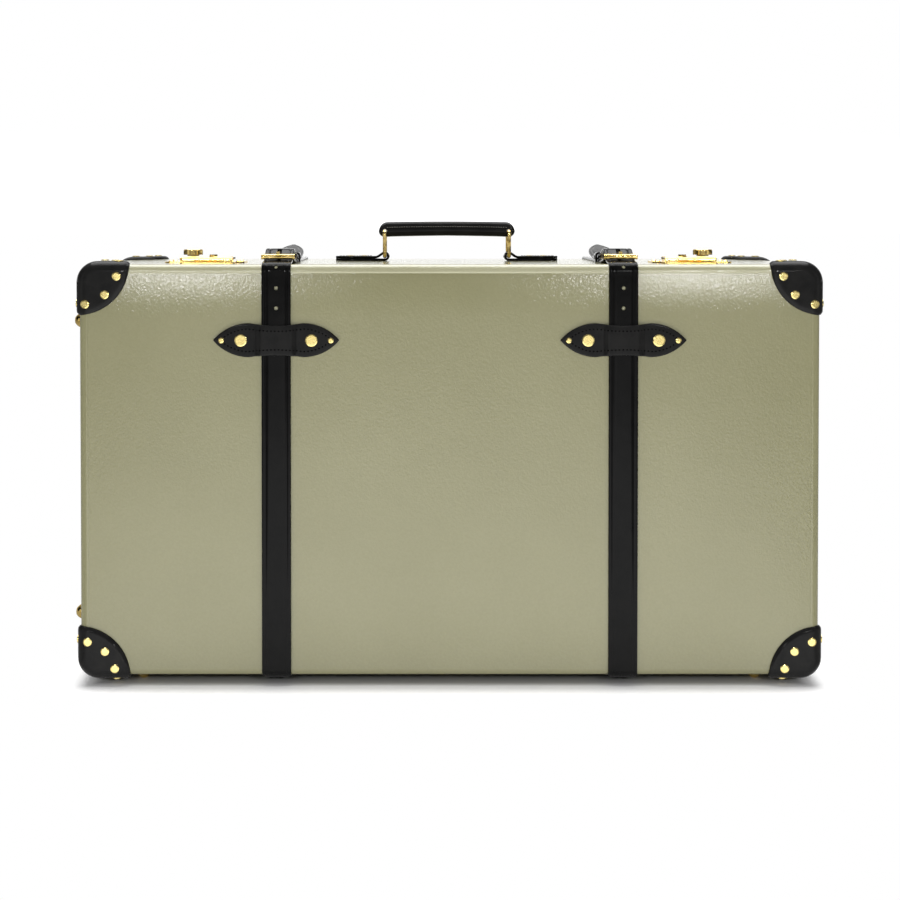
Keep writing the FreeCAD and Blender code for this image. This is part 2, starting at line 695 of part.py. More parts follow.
def make_strap_ends():
    bar_y = f"({FRONT} + buckle_setback)"
    heel_y = f"({bar_y} + buckle_length)"
    heel_z = f"({TOP} + buckle_lift)"
    fold = "(heel_bar / 2 + heel_fit + strap_thickness)"
    low, high = f"({TOP} + seat_gap)", f"({TOP} + seat_gap + strap_thickness)"
    rear_end = f"({BACK} - edge_radius - strap_cut - strap_gap)"
    front_end = f"({FRONT} + edge_radius + strap_cut + strap_gap)"
    side_low, side_high = f"{STRAP} - strap_width / 2", f"{STRAP} + strap_width / 2"
    fold_end = f"({heel_y} + fold_length)"
    slope_end = f"({heel_y} + fold_slope)"

    top = new_body("strap_top_left")
    pad(top, "YZ_Plane", [
        (rear_end, low), (rear_end, high), (fold_end, high), (fold_end, f"{high} + strap_thickness"),
        (slope_end, f"{high} + strap_thickness"), (heel_y, f"{heel_z} + {fold}"), (heel_y, low),
    ], side_low, side_high)
    rod(top, "x", (side_low, heel_y, heel_z), fold, "strap_width")
    rod(top, "x", (side_low, heel_y, heel_z), "heel_bar / 2 + heel_fit", "strap_width", "Subtractive")
    slot = "(prong_width / 2 + prong_ease)"
    block(
        top,
        (f"{STRAP} - {slot}", f"{heel_y} - 2 * {fold}", high),
        (f"{STRAP} + {slot}", f"{heel_y} + {fold} + prong_ease", f"{heel_z} + 2 * {fold}"),
        "Subtractive",
    )
    pair(top, "strap_top")

    frame = new_body("buckle_frame_left")
    inside = "(strap_width / 2 + buckle_ease)"
    half_bar = "(front_bar / 2)"
    block(
        frame,
        (f"{STRAP} - {inside} - buckle_side", f"{bar_y} - {half_bar}", f"{heel_z} - {half_bar}"),
        (f"{STRAP} + {inside} + buckle_side", f"{heel_y} + heel_bar / 2", f"{heel_z} + {half_bar}"),
    )
    block(
        frame,
        (f"{STRAP} - {inside}", f"{bar_y} + {half_bar}", f"{heel_z} - front_bar"),
        (f"{STRAP} + {inside}", f"{heel_y} + heel_bar", f"{heel_z} + front_bar"),
        "Subtractive",
    )
    bar_faces = either(lying_at("y", f"{bar_y} - {half_bar}"), lying_at("y", f"{bar_y} + {half_bar}"))
    round_edges(frame, "bar_rounding", both(along("x"), bar_faces))
    heel_start = (f"{STRAP} - {inside} - buckle_side / 2", heel_y, heel_z)
    rod(frame, "x", heel_start, "heel_bar / 2", f"2 * {inside} + buckle_side")
    pair(frame, "buckle_frame")

    prong = new_body("buckle_prong_left")
    prong_low, prong_high = f"{STRAP} - prong_width / 2", f"{STRAP} + prong_width / 2"
    eye = "(heel_bar / 2 + heel_fit + prong_eye)"
    rest = f"({heel_z} + front_bar / 2 + prong_rest)"
    pad(prong, "YZ_Plane", [
        (heel_y, heel_z), (f"{heel_y} - {eye}", heel_z), (f"{bar_y} - {half_bar} / 2", rest),
        (f"{bar_y} - {half_bar} / 2", f"{rest} + prong_depth"),
        (f"{bar_y} + {half_bar}", f"{rest} + prong_depth"),
        (heel_y, f"{heel_z} + {eye}"),
    ], prong_low, prong_high)
    rod(prong, "x", (prong_low, heel_y, heel_z), eye, "prong_width")
    rod(prong, "x", (prong_low, heel_y, heel_z), "heel_bar / 2 + heel_fit", "prong_width", "Subtractive")
    pair(prong, "buckle_prong")

    under_bar = f"({heel_z} - {half_bar} - tail_clear - strap_thickness)"
    over_fold = f"({heel_z} + {fold} + tail_clear)"
    on_fold = f"({high} + strap_thickness + tail_clear)"
    on_top = f"({high} + tail_clear)"
    route = [
        (front_end, low),
        (f"{bar_y} + {half_bar}", under_bar),
        (f"{heel_y} - {fold}", f"{over_fold} - strap_thickness / 4"),
        (heel_y, over_fold),
        (f"{heel_y} + {fold}", over_fold),
        (fold_end, on_fold),
        (f"{fold_end} + 4 * strap_thickness", on_top),
        (f"{FRONT} + tail_flat_end", on_top),
        (f"{FRONT} + tail_end", f"{on_top} + tail_tip_lift"),
    ]
    back = [(y, f"{z} + strap_thickness") for y, z in reversed(route)]
    tail = new_body("strap_tail_left")
    pad(tail, "YZ_Plane", route + back, side_low, side_high)
    bends = [lying_at("y", y) for y, z in route[1:-1]]
    round_edges(tail, "tail_bend", both(along("x"), either(*bends)))
    block(
        tail,
        (f"{STRAP} - {slot}", f"{bar_y} + {half_bar}", TOP),
        (f"{STRAP} + {slot}", f"{heel_y} - {eye} + prong_ease", f"{heel_z} + 2 * {fold}"),
        "Subtractive",
    )
    pair(tail, "strap_tail")

    loop = new_body("strap_loop_left")
    near_y = f"({FRONT} + loop_setback)"
    loop_in = "(strap_width / 2 + buckle_ease)"
    roof = f"({on_fold} + strap_thickness + 2 * tail_clear)"
    block(
        loop,
        (f"{STRAP} - {loop_in} - loop_wall", near_y, f"{low} + tail_clear"),
        (f"{STRAP} + {loop_in} + loop_wall", f"{near_y} + loop_width", f"{roof} + loop_wall"),
    )
    block(
        loop,
        (f"{STRAP} - {loop_in}", near_y, low),
        (f"{STRAP} + {loop_in}", f"{near_y} + loop_width", roof),
        "Subtractive",
    )
    pair(loop, "strap_loop")


# Handle: two rings held by leather chapes, and a grip on a steel core

def nose_touch(run, rise):
    """Where a line from (run, rise) touches the round nose of the grip, from the nose's middle."""
    square = f"({run} ^ 2 + {rise} ^ 2)"
    tangent = f"sqrt({square} - grip_nose ^ 2)"
    x = f"(grip_nose / {square} * (grip_nose * {run} - {tangent} * {rise}))"
    z = f"(grip_nose / {square} * (grip_nose * {rise} + {tangent} * {run}))"
    return x, z


def make_handle():
    y = f"({FRONT} + handle_setback)"
    ring_x = "(-ring_spacing / 2)"
    bore = "(ring_wire + ring_fit)"
    eye = f"({bore} + chape_leather)"
    foot = f"({TOP} + seat_gap)"
    axis_z = f"({foot} + {eye})"
    grip_z = f"({axis_z} + ring_height)"
    half = "(chape_width / 2)"

    chape = new_body("chape_left")
    end = f"({ring_x} - chape_length)"
    pad(chape, "XY_Plane", [
        (ring_x, f"{y} - {half}"), (ring_x, f"{y} + {half}"), (f"{end} + chape_point", f"{y} + {half}"),
        (end, y), (f"{end} + chape_point", f"{y} - {half}"),
    ], foot, f"{foot} + chape_thickness")
    rod(chape, "y", (ring_x, f"{y} - {half}", axis_z), eye, "chape_width")
    rod(chape, "y", (ring_x, f"{y} - chape_width", axis_z), bore, "2 * chape_width", "Subtractive")
    pair(chape, "chape")
    rivets = []
    for side in (-1, 1):
        for number in range(2):
            x = side * value(f"ring_spacing / 2 + chape_rivet_first + {number} * chape_rivet_pitch")
            spot = FreeCAD.Vector(x, value(y), value(f"{foot} + chape_thickness"))
            rivets.append(rivet(value("chape_rivet_radius"), spot, FreeCAD.Vector(0, 0, 1)))
    group("chape_rivets", rivets)

    ring = doc.addObject("Part::Feature", "handle_ring_left")
    ring.Label = "handle_ring_left"
    half_width = value("chape_width / 2 + ring_ease + ring_wire")
    ring.Shape = wire_ring(value(ring_x), value(y), value(axis_z), half_width, value("ring_height"))
    pair(ring, "handle_ring")

    grip = new_body("handle_grip")
    shoulder = f"({ring_x} + grip_shoulder)"
    top, bottom = f"({grip_z} + grip_top)", f"({grip_z} - grip_bottom)"
    back_x, rise = nose_touch("grip_shoulder", "grip_top")
    fore_x, fall = nose_touch("grip_shoulder", "grip_bottom")
    pad(grip, "XZ_Plane", [
        (f"{ring_x} + {fore_x}", f"{grip_z} - {fall}", "grip_nose", -1),
        (f"{ring_x} - grip_nose", grip_z, "grip_nose", -1),
        (f"{ring_x} + {back_x}", f"{grip_z} + {rise}"),
        (shoulder, top),
        (f"-{shoulder}", top),
        (f"-{ring_x} - {back_x}", f"{grip_z} + {rise}", "grip_nose", -1),
        (f"-{ring_x} + grip_nose", grip_z, "grip_nose", -1),
        (f"-{ring_x} - {fore_x}", f"{grip_z} - {fall}"),
        (f"-{shoulder}", bottom),
        (shoulder, bottom),
    ], f"{y} - grip_width / 2", f"{y} + grip_width / 2")
    ends = either(lying_at("y", f"{y} - grip_width / 2"), lying_at("y", f"{y} + grip_width / 2"))
    round_edges(grip, "grip_rounding", ends)
    for side in ("", "-"):
        bore_start = (f"{side}{ring_x}", f"{y} - grip_width", grip_z)
        rod(grip, "y", bore_start, bore, "2 * grip_width", "Subtractive")
    core_z = f"({grip_z} + grip_top / 2 - grip_bottom / 2)"
    core_low = ["-core_length / 2", f"{y} - core_width / 2", f"{core_z} - core_thickness / 2"]
    core_high = ["core_length / 2", f"{y} + core_width / 2", f"{core_z} + core_thickness / 2"]
    block(
        grip,
        [f"{place} - seat_gap" for place in core_low],
        [f"{place} + seat_gap" for place in core_high],
        "Subtractive",
    )
    piece(grip)
    core = new_body("grip_core")
    block(core, core_low, core_high)
    piece(core)


def wire_ring(x, y, low, half_width, height):
    """A rectangular ring of round wire in a plane square to X."""
    bend = value("ring_bend")
    quarter = bend * (1 - math.sqrt(0.5))
    near, far, high = y - half_width, y + half_width, low + height

    def at(across, up):
        return FreeCAD.Vector(x, across, up)

    runs = [
        Part.LineSegment(at(near + bend, low), at(far - bend, low)),
        Part.Arc(at(far - bend, low), at(far - quarter, low + quarter), at(far, low + bend)),
        Part.LineSegment(at(far, low + bend), at(far, high - bend)),
        Part.Arc(at(far, high - bend), at(far - quarter, high - quarter), at(far - bend, high)),
        Part.LineSegment(at(far - bend, high), at(near + bend, high)),
        Part.Arc(at(near + bend, high), at(near + quarter, high - quarter), at(near, high - bend)),
        Part.LineSegment(at(near, high - bend), at(near, low + bend)),
        Part.Arc(at(near, low + bend), at(near + quarter, low + quarter), at(near + bend, low)),
    ]
    path = Part.Wire([run.toShape() for run in runs])
    section = Part.Circle(at(near + bend, low), FreeCAD.Vector(0, 1, 0), value("ring_wire"))
    return path.makePipeShell([Part.Wire(section.toShape())], True, False)


# Locks: a plate with a raised case on the base, and a hasp hinged on the lid

def make_locks():
    middle = "(-case_width * lock_share / 2)"
    foot = f"({TOP} + seat_gap)"
    plate_top = f"({foot} + lock_plate)"
    near = f"({MOUTH} + lock_setback)"
    case_near = f"({near} + case_margin)"
    case_far = f"({case_near} + case_breadth)"
    roof = f"({plate_top} + case_rise)"
    hasp_x = f"({middle} + key_offset)"
    knob_x = f"({middle} - knob_offset)"
    knob_y, key_y = f"({near} + knob_setback)", f"({near} + key_setback)"
    notch = "(staple_width / 2 + notch_ease)"
    bolt_y = f"({case_near} + bolt_inset)"
    bolt_z = f"({plate_top} + case_rise / 2)"
    tongue_end = f"({case_near} + staple_length)"

    lock = new_body("lock_body_left")
    block(
        lock,
        (f"{middle} - lock_width / 2", near, foot),
        (f"{middle} + lock_width / 2", f"{near} + lock_depth", plate_top),
    )
    round_edges(lock, "lock_corner", along("z"))
    case_low = [f"{middle} - case_length / 2", case_near, foot]
    case_high = [f"{middle} + case_length / 2", case_far, roof]
    block(lock, case_low, case_high)
    round_edges(lock, "lock_rounding", lying_at("z", roof))
    block(
        lock,
        (f"{case_low[0]} + case_wall", f"{case_near} + case_wall", plate_top),
        (f"{case_high[0]} - case_wall", f"{case_far} - case_wall", f"{roof} - case_wall"),
        "Subtractive",
    )
    stem = "(stem_radius + slide_gap)"
    block(
        lock,
        (f"{knob_x} - {stem}", f"{knob_y} - {stem}", f"{roof} - 2 * case_wall"),
        (f"{knob_x} + knob_travel + {stem}", f"{knob_y} + {stem}", f"{roof} + case_wall"),
        "Subtractive",
    )
    key_bore = (hasp_x, key_y, f"{roof} - 2 * case_wall")
    rod(lock, "z", key_bore, "key_radius + pin_fit", "3 * case_wall", "Subtractive")
    block(
        lock,
        (f"{hasp_x} - {notch}", f"{case_near} - case_wall", plate_top),
        (f"{hasp_x} + {notch}", f"{tongue_end} + notch_ease", f"{roof} + case_wall"),
        "Subtractive",
    )
    pair(lock, "lock_body")

    slide_low = f"({plate_top} + slide_gap / 2)"
    slide_high = f"({slide_low} + slide_plate)"
    knob = new_body("lock_knob_left")
    block(
        knob,
        (f"{knob_x} - stem_radius", f"{bolt_y} - bolt_size / 2", slide_low),
        (f"{knob_x} + stem_radius", f"{knob_y} + stem_radius", slide_high),
    )
    block(
        knob,
        (f"{knob_x} - stem_radius", f"{bolt_y} - bolt_size / 2", slide_low),
        (f"{hasp_x} - {notch} + notch_ease / 2", f"{bolt_y} + bolt_size / 2", f"{bolt_z} + bolt_size / 2"),
    )
    block(
        knob,
        (f"{knob_x} + stem_radius", f"{bolt_y} - bolt_size", f"{slide_low} - slide_gap"),
        (f"{hasp_x}", f"{bolt_y} + bolt_size", f"{bolt_z} - bolt_size / 2"),
        "Subtractive",
    )
    over = f"({roof} + slide_gap)"
    rod(knob, "z", (knob_x, knob_y, slide_low), "stem_radius", f"{over} + knob_neck / 2 - {slide_low}")
    rod(knob, "z", (knob_x, knob_y, over), "knob_neck", "knob_lift")
    head_start = (knob_x, knob_y, f"{over} + knob_lift")
    rod(knob, "z", head_start, "knob_radius", "knob_height - knob_lift")
    round_edges(knob, "lock_rounding", lying_at("z", f"{over} + knob_height"))
    pair(knob, "lock_knob")

    key = new_body("key_cylinder_left")
    key_start = (hasp_x, key_y, f"{plate_top} + slide_gap / 2")
    rod(key, "z", key_start, "key_radius", f"{roof} + key_height - {plate_top}")
    block(
        key,
        (f"{hasp_x} - key_slot_width / 2", f"{key_y} - key_slot_length / 2", f"{roof} - key_height"),
        (f"{hasp_x} + key_slot_width / 2", f"{key_y} + key_slot_length / 2", f"{roof} + 2 * key_height"),
        "Subtractive",
    )
    pair(key, "key_cylinder")

    plate_far = f"({MOUTH} - hasp_plate_setback)"
    axis_y = f"({plate_far} - hasp_plate_depth + hasp_axis_inset)"
    axis_z = f"({plate_top} + hasp_knuckle)"
    half_middle = "(hasp_middle / 2)"
    carrier = new_body("hasp_plate_left")
    block(
        carrier,
        (f"{hasp_x} - hasp_plate_width / 2", f"{plate_far} - hasp_plate_depth", foot),
        (f"{hasp_x} + hasp_plate_width / 2", plate_far, plate_top),
    )
    round_edges(carrier, "lock_corner / 2", along("z"))
    knuckles = (
        (f"{hasp_x} - hasp_width / 2", f"{hasp_x} - {half_middle} - knuckle_gap"),
        (f"{hasp_x} + {half_middle} + knuckle_gap", f"{hasp_x} + hasp_width / 2"),
    )
    for start, end in knuckles:
        block(carrier, (start, f"{axis_y} - hasp_knuckle", foot), (end, f"{axis_y} + hasp_knuckle", axis_z))
        rod(carrier, "x", (start, axis_y, axis_z), "hasp_knuckle", f"({end}) - ({start})")
    bore_start = (f"{hasp_x} - hasp_width", axis_y, axis_z)
    bore = ("x", bore_start, "hasp_pin + pin_fit", "2 * hasp_width", "Subtractive")
    rod(carrier, *bore)
    across = f"({half_middle} + knuckle_gap)"
    reach = "(hasp_knuckle + knuckle_gap)"
    block(
        carrier,
        (f"{hasp_x} - {across}", f"{axis_y} - {reach}", f"{plate_top} - knuckle_gap"),
        (f"{hasp_x} + {across}", f"{axis_y} + {reach}", roof),
        "Subtractive",
    )
    pair(carrier, "hasp_plate")

    hasp = new_body("hasp_left")
    hasp_end = f"({case_near} - slide_gap)"
    hasp_low = f"({axis_z} + hasp_knuckle - hasp_thickness)"
    hasp_high = f"({axis_z} + hasp_knuckle)"
    start_y = f"({axis_y} + hasp_knuckle + 2 * knuckle_gap)"
    block(
        hasp,
        (f"{hasp_x} - hasp_width / 2", start_y, hasp_low),
        (f"{hasp_x} + hasp_width / 2", hasp_end, hasp_high),
    )
    round_edges(hasp, "lock_corner / 2", both(along("z"), lying_at("y", hasp_end)))
    block(
        hasp,
        (f"{hasp_x} - {half_middle}", axis_y, hasp_low),
        (f"{hasp_x} + {half_middle}", start_y, hasp_high),
    )
    rod(hasp, "x", (f"{hasp_x} - {half_middle}", axis_y, axis_z), "hasp_knuckle", "hasp_middle")
    staple_low = f"({bolt_z} - bolt_size / 2 - slide_gap - staple_wall)"
    block(
        hasp,
        (f"{hasp_x} - staple_width / 2", f"{hasp_end} - staple_wall", staple_low),
        (f"{hasp_x} + staple_width / 2", tongue_end, hasp_high),
    )
    half_eye = "(bolt_size / 2 + slide_gap)"
    block(
        hasp,
        (f"{hasp_x} - staple_width", f"{bolt_y} - {half_eye}", f"{bolt_z} - {half_eye}"),
        (f"{hasp_x} + staple_width", f"{bolt_y} + {half_eye}", f"{bolt_z} + {half_eye}"),
        "Subtractive",
    )
    rod(hasp, *bore)
    pair(hasp, "hasp")

    pins = []
    for side in (-1, 1):
        start = FreeCAD.Vector(side * value(hasp_x) - value("hasp_width / 2"), value(axis_y), value(axis_z))
        pins.append(Part.makeCylinder(value("hasp_pin"), value("hasp_width"), start, FreeCAD.Vector(1, 0, 0)))
    group("hasp_pins", pins)

    screw = turned("screw", [
        ("0", "-screw_length"),
        ("screw_shank", "-screw_length"),
        ("screw_shank", "0"),
        ("screw_radius", "0", "screw_curve", 1),
        ("screw_flat", "screw_height"),
        ("0", "screw_height"),
    ])
    screws = []
    for side in (-1, 1):
        for along_x in (-1, 1):
            for depth in ("screw_inset", "lock_depth - screw_inset"):
                x = value(f"{side} * {middle} + {along_x} * (lock_width / 2 - screw_inset)")
                copy = screw.Shape.copy()
                copy.translate(FreeCAD.Vector(x, value(f"{near} + {depth}"), value(plate_top)))
                screws.append(copy)
    group("lock_screws", screws)


def write_pieces():
    doc.recompute()
    failed = [thing.Label for thing in doc.Objects if set(thing.State) & {"Invalid", "Error"}]
    for thing in pieces:
        shape = thing.Shape
        if shape.isNull() or not shape.isValid() or not shape.Solids:
            failed.append(thing.Label)
    if failed:
        raise RuntimeError(f"these did not build: {sorted(set(failed))}")
    os.makedirs("parts", exist_ok=True)
    for thing in pieces:
        thing.Shape.exportStep(f"parts/{thing.Label}.step")
        print(thing.Label, len(thing.Shape.Solids), "solids", round(thing.Shape.Volume), "mm3")


make_case()
make_caps()
make_cap_rivets()
make_studs()
make_hinges()
make_straps()
make_strap_ends()
make_handle()
make_locks()
write_pieces()
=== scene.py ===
# %% [markdown]
# # A fibre suitcase with leather straps
# The real case is two trays of vulcanised fibre, closed by two brass locks and two
# buckled straps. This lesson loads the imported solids, keeps the hard ones (fibre and
# brass) as they are, and models every leather and cloth piece again, because leather
# has rounded edges, creases and stitches that a plain solid doesn't show.

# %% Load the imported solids
import json
import math

import bmesh
import bpy
import numpy as np
from mathutils import Matrix, Vector


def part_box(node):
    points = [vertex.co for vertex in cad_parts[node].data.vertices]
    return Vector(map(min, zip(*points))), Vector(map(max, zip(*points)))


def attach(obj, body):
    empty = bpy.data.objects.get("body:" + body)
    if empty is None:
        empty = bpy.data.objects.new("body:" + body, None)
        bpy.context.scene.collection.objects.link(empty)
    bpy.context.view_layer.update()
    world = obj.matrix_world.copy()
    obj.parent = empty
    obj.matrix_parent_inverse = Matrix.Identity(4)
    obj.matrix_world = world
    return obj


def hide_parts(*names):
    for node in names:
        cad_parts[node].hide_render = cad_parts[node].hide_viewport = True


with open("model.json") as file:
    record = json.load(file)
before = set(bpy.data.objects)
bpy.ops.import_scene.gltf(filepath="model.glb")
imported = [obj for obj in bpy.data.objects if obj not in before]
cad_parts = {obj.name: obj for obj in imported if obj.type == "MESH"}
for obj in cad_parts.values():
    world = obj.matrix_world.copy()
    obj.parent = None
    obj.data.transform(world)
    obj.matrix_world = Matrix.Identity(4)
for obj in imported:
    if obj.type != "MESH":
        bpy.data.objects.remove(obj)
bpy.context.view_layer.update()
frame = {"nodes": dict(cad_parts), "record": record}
MM = 0.001

# %% [markdown]
# ## Where the case is
# Everything is measured in millimetres from the boxes of the solids, so a piece of
# leather lies on the fibre with no fitting by eye. The sizes could be typed in again,
# but then a change of the solids would leave the leather behind. X runs along the
# case, Y from the lid to the back, Z up.

# %% Measure the case
shell_low = Vector(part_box("lid_shell")[0]) / MM
shell_high = Vector(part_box("base_shell")[1]) / MM
FRONT, BACK = shell_low.y, shell_high.y
LOW, TOP = shell_low.z, shell_high.z
HALF_WIDTH = shell_high.x
MID = (LOW + TOP) / 2
MOUTH = Vector(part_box("lid_shell")[1]).y / MM
SEAT = 0.1
STRAP_X = sum(Vector(corner).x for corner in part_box("strap_front_right")) / 2 / MM
STRAP_WIDTH = 33
STRAP_THICK = 3
SIDES = (("left", -1), ("right", 1))
case_size = [round(size, 1) for size in (2 * HALF_WIDTH, BACK - FRONT, TOP - LOW)]
print("case", case_size, "mm, straps at", round(STRAP_X, 1))

# %% [markdown]
# ## Finishes
# Each finish is a small tree of nodes. It could be painted on an unwrapped image, but
# an image blurs close up. Noise in the object's own coordinates, in metres, has a real
# scale and needs no unwrapping. Numbers that are the same all over go straight on the
# shader.

# %% Nodes and links
def new_finish(name, **sockets):
    """A material with one shader, whose plain sockets are set by name."""
    material = bpy.data.materials.new(name)
    material.use_nodes = True
    tree = material.node_tree
    tree.nodes.clear()
    out = tree.nodes.new("ShaderNodeOutputMaterial")
    shader = tree.nodes.new("ShaderNodeBsdfPrincipled")
    tree.links.new(shader.outputs["BSDF"], out.inputs["Surface"])
    for socket, number in sockets.items():
        shader.inputs[socket.replace("_", " ")].default_value = number
    return material, tree, shader


def add_node(tree, kind, links=(), **sockets):
    """One node of a tree, with its links in and its plain sockets."""
    node = tree.nodes.new("ShaderNode" + kind)
    for socket, number in sockets.items():
        node.inputs[socket.replace("_", " ")].default_value = number
    for source, socket in links:
        tree.links.new(source, node.inputs[socket])
    return node


print("node helpers:", new_finish.__name__, add_node.__name__)

# %% Noise, ramps, sums and bumps
def noise(tree, scale, detail=2.0, roughness=0.5):
    """Noise over the piece's own coordinates, scale in lumps per metre."""
    place = add_node(tree, "TexCoord")
    return add_node(
        tree, "TexNoise", [(place.outputs["Object"], "Vector")],
        Scale=scale, Detail=detail, Roughness=roughness,
    )


def ramp(tree, source, stops):
    """A colour ramp with (place, colour) stops."""
    node = add_node(tree, "ValToRGB", [(source, "Fac")])
    colours = node.color_ramp.elements
    while len(colours) < len(stops):
        colours.new(0.5)
    for element, (place, colour) in zip(colours, stops):
        element.position = place
        element.color = (*colour, 1.0)
    return node.outputs["Color"]


def spread(tree, source, low, high, out_low, out_high):
    """Maps a value from one range of numbers to another."""
    node = add_node(
        tree, "MapRange", [(source, "Value")],
        From_Min=low, From_Max=high, To_Min=out_low, To_Max=out_high,
    )
    return node.outputs["Result"]


def combine(tree, operation, first, second=None):
    """Works one number out from a socket and a second socket or a plain number."""
    node = add_node(tree, "Math", [(first, 0)])
    node.operation = operation
    if isinstance(second, (int, float)):
        node.inputs[1].default_value = second
    elif second:
        tree.links.new(second, node.inputs[1])
    return node.outputs[0]


def bumps(tree, shader, sockets, layers):
    """Stacks bump layers of (height, strength, distance in millimetres) on a shader's sockets."""
    normal = None
    for height, strength, distance in layers:
        links = [(height, "Height")]
        if normal:
            links.append((normal, "Normal"))
        bump = add_node(tree, "Bump", links, Strength=strength, Distance=distance * MM)
        normal = bump.outputs["Normal"]
    for socket in sockets:
        tree.links.new(normal, shader.inputs[socket])


print("node helpers:", noise.__name__, ramp.__name__, spread.__name__, combine.__name__, bumps.__name__)

# %% Colour and shine that follow a noise
NOISE_LOW, NOISE_HIGH = 0.3, 0.7
COLOUR_A, COLOUR_B, COLOUR_OUT = 6, 7, 2


def colour_by(tree, shader, source, dark, light):
    """Colours a shader between two shades as a noise goes from low to high."""
    shades = ramp(tree, source, [(NOISE_LOW, dark), (NOISE_HIGH, light)])
    tree.links.new(shades, shader.inputs["Base Color"])


def roughness_by(tree, shader, source, low, high):
    """Spreads a shader's roughness between two numbers as a noise goes from low to high."""
    tree.links.new(spread(tree, source, NOISE_LOW, NOISE_HIGH, low, high), shader.inputs["Roughness"])


def multiply_colours(tree, first, second):
    """One colour times another."""
    node = add_node(tree, "Mix", Factor=1.0)
    node.data_type = "RGBA"
    node.blend_type = "MULTIPLY"
    tree.links.new(first, node.inputs[COLOUR_A])
    tree.links.new(second, node.inputs[COLOUR_B])
    return node.outputs[COLOUR_OUT]


print("colours and shine follow noise from", NOISE_LOW, "to", NOISE_HIGH)

# %% [markdown]
# ### Vulcanised fibre
# Sheets of cotton paper pressed hard and lacquered: a sage green with a pebbled skin
# that sparkles where the light glances off it. Pebbles in the mesh would take millions
# of faces, so noise tilts the shading instead: a fine one for the pebbles and a slow one
# for the waves of the sheet. The pebbles stand higher in the lacquer than in the sheet
# under it, so they show in the highlights and the rest stays calm. The sheet leans back
# a little under its top edge. A paler, greyer copy of the fibre is a painted highlight
# on the rolled top edge and painted light in the buckle holes.

# %% Fibre
CLOUDS_PER_M, WAVES_PER_M, PEBBLES_PER_M = 7.0, 45.0, 380.0
PEBBLE_HIGH = 0.4
SHEET_RELIEF, LACQUER_RELIEF = 0.35, 0.7
LEAN_REACH = 60
FINISH = {}


def fibre(name, dark, light, lean):
    """Pressed fibre between two shades, its upper part leaning back by lean millimetres."""
    material, tree, shader = new_finish(
        name, Specular_IOR_Level=0.2, Coat_Weight=1.0, Coat_Roughness=0.14,
    )
    cloud = noise(tree, CLOUDS_PER_M, 3.0).outputs["Fac"]
    pebble = noise(tree, PEBBLES_PER_M, 3.0, 0.55).outputs["Fac"]
    wave = noise(tree, WAVES_PER_M, 2.0).outputs["Fac"]
    sage = ramp(tree, cloud, [(0.35, dark), (0.65, light)])
    # The fibre is up to five percent darker where the pebble noise is low, which is where the pebbles
    # dip.
    darker_in_pebble_dips = ramp(tree, pebble, [(0.35, (0.95, 0.95, 0.94)), (0.66, (1.0, 1.0, 1.0))])
    tree.links.new(multiply_colours(tree, sage, darker_in_pebble_dips), shader.inputs["Base Color"])
    roughness_by(tree, shader, pebble, 0.30, 0.44)
    slow_layers = [(wave, 0.12, 0.6)]
    if lean:
        place = add_node(tree, "TexCoord").outputs["Object"]
        height = add_node(tree, "SeparateXYZ", [(place, "Vector")]).outputs["Z"]
        share = spread(tree, height, (TOP - LEAN_REACH) * MM, TOP * MM, 0.0, 1.0)
        back = spread(tree, combine(tree, "MULTIPLY", share, share), 0.0, 1.0, 1.0, 0.0)
        slow_layers.insert(0, (back, 1.0, lean))
    bumps(tree, shader, ["Normal"], slow_layers + [(pebble, SHEET_RELIEF, PEBBLE_HIGH)])
    bumps(tree, shader, ["Coat Normal"], slow_layers + [(pebble, LACQUER_RELIEF, PEBBLE_HIGH)])
    return material


FINISH["fibre"] = fibre("sage fibre", (0.196, 0.187, 0.094), (0.207, 0.198, 0.102), 4.0)
# A paler, greyer copy of the fibre: a painted highlight on the rolled top edge and painted light in the
# buckle holes.
FINISH["paler painted-light fibre"] = fibre("paler painted-light fibre", (0.30, 0.29, 0.18), (0.34, 0.33, 0.215), 0)
print("finishes:", FINISH["fibre"].name, FINISH["paler painted-light fibre"].name)

# %% [markdown]
# ### Black bridle leather
# Dyed black and waxed, so it is smooth with a fine grain and a soft shine. The grain
# could be plain noise, but leather has small cells with creases between them, so a cell
# pattern is closer. A slower noise makes some places duller. Straps, keepers, caps and
# grip are one leather. Keepers, caps and grip are painted a lighter black than the
# straps: painted light, which stands in for light these parts get too little of here.

# %% Leather
GRAINS_PER_M = 1150.0


def leather(name, shade, shine, grain_strength):
    """Waxed black leather with its own shade, shine and depth of grain."""
    material, tree, shader = new_finish(
        name, Specular_IOR_Level=0.01, Coat_Weight=1.0, Coat_IOR=1.17, Coat_Roughness=0.1,
    )
    place = add_node(tree, "TexCoord").outputs["Object"]
    cells = add_node(tree, "TexVoronoi", [(place, "Vector")], Scale=GRAINS_PER_M, Randomness=1.0)
    fine = noise(tree, 2600.0, 2.0).outputs["Fac"]
    slow = noise(tree, 60.0, 3.0).outputs["Fac"]
    worn = (shade * 1.25, shade * 1.22, shade * 1.18)
    colour_by(tree, shader, slow, (shade * 0.8,) * 3, worn)
    roughness_by(tree, shader, slow, shine - 0.06, shine + 0.08)
    bumps(tree, shader, ["Normal", "Coat Normal"], [
        (slow, 0.15, 0.5),
        (cells.outputs["Distance"], grain_strength, 0.12),
        (fine, grain_strength * 0.6, 0.05),
    ])
    return material


FINISH["leather"] = leather("black leather", 0.003, 0.28, 0.14)
# Keepers, caps and grip: painted light, a lighter black than the straps' that stands in for light these
# parts lack.
FINISH["painted-lighter keeper leather"] = leather("black painted-lighter keeper leather", 0.009, 0.28, 0.14)
FINISH["painted-lighter cap leather"] = leather("black painted-lighter cap leather", 0.010, 0.28, 0.14)
FINISH["painted-lighter grip leather"] = leather("black painted-lighter grip leather", 0.010, 0.32, 0.22)
print("finishes:", [name for name in FINISH if name.endswith("leather")])
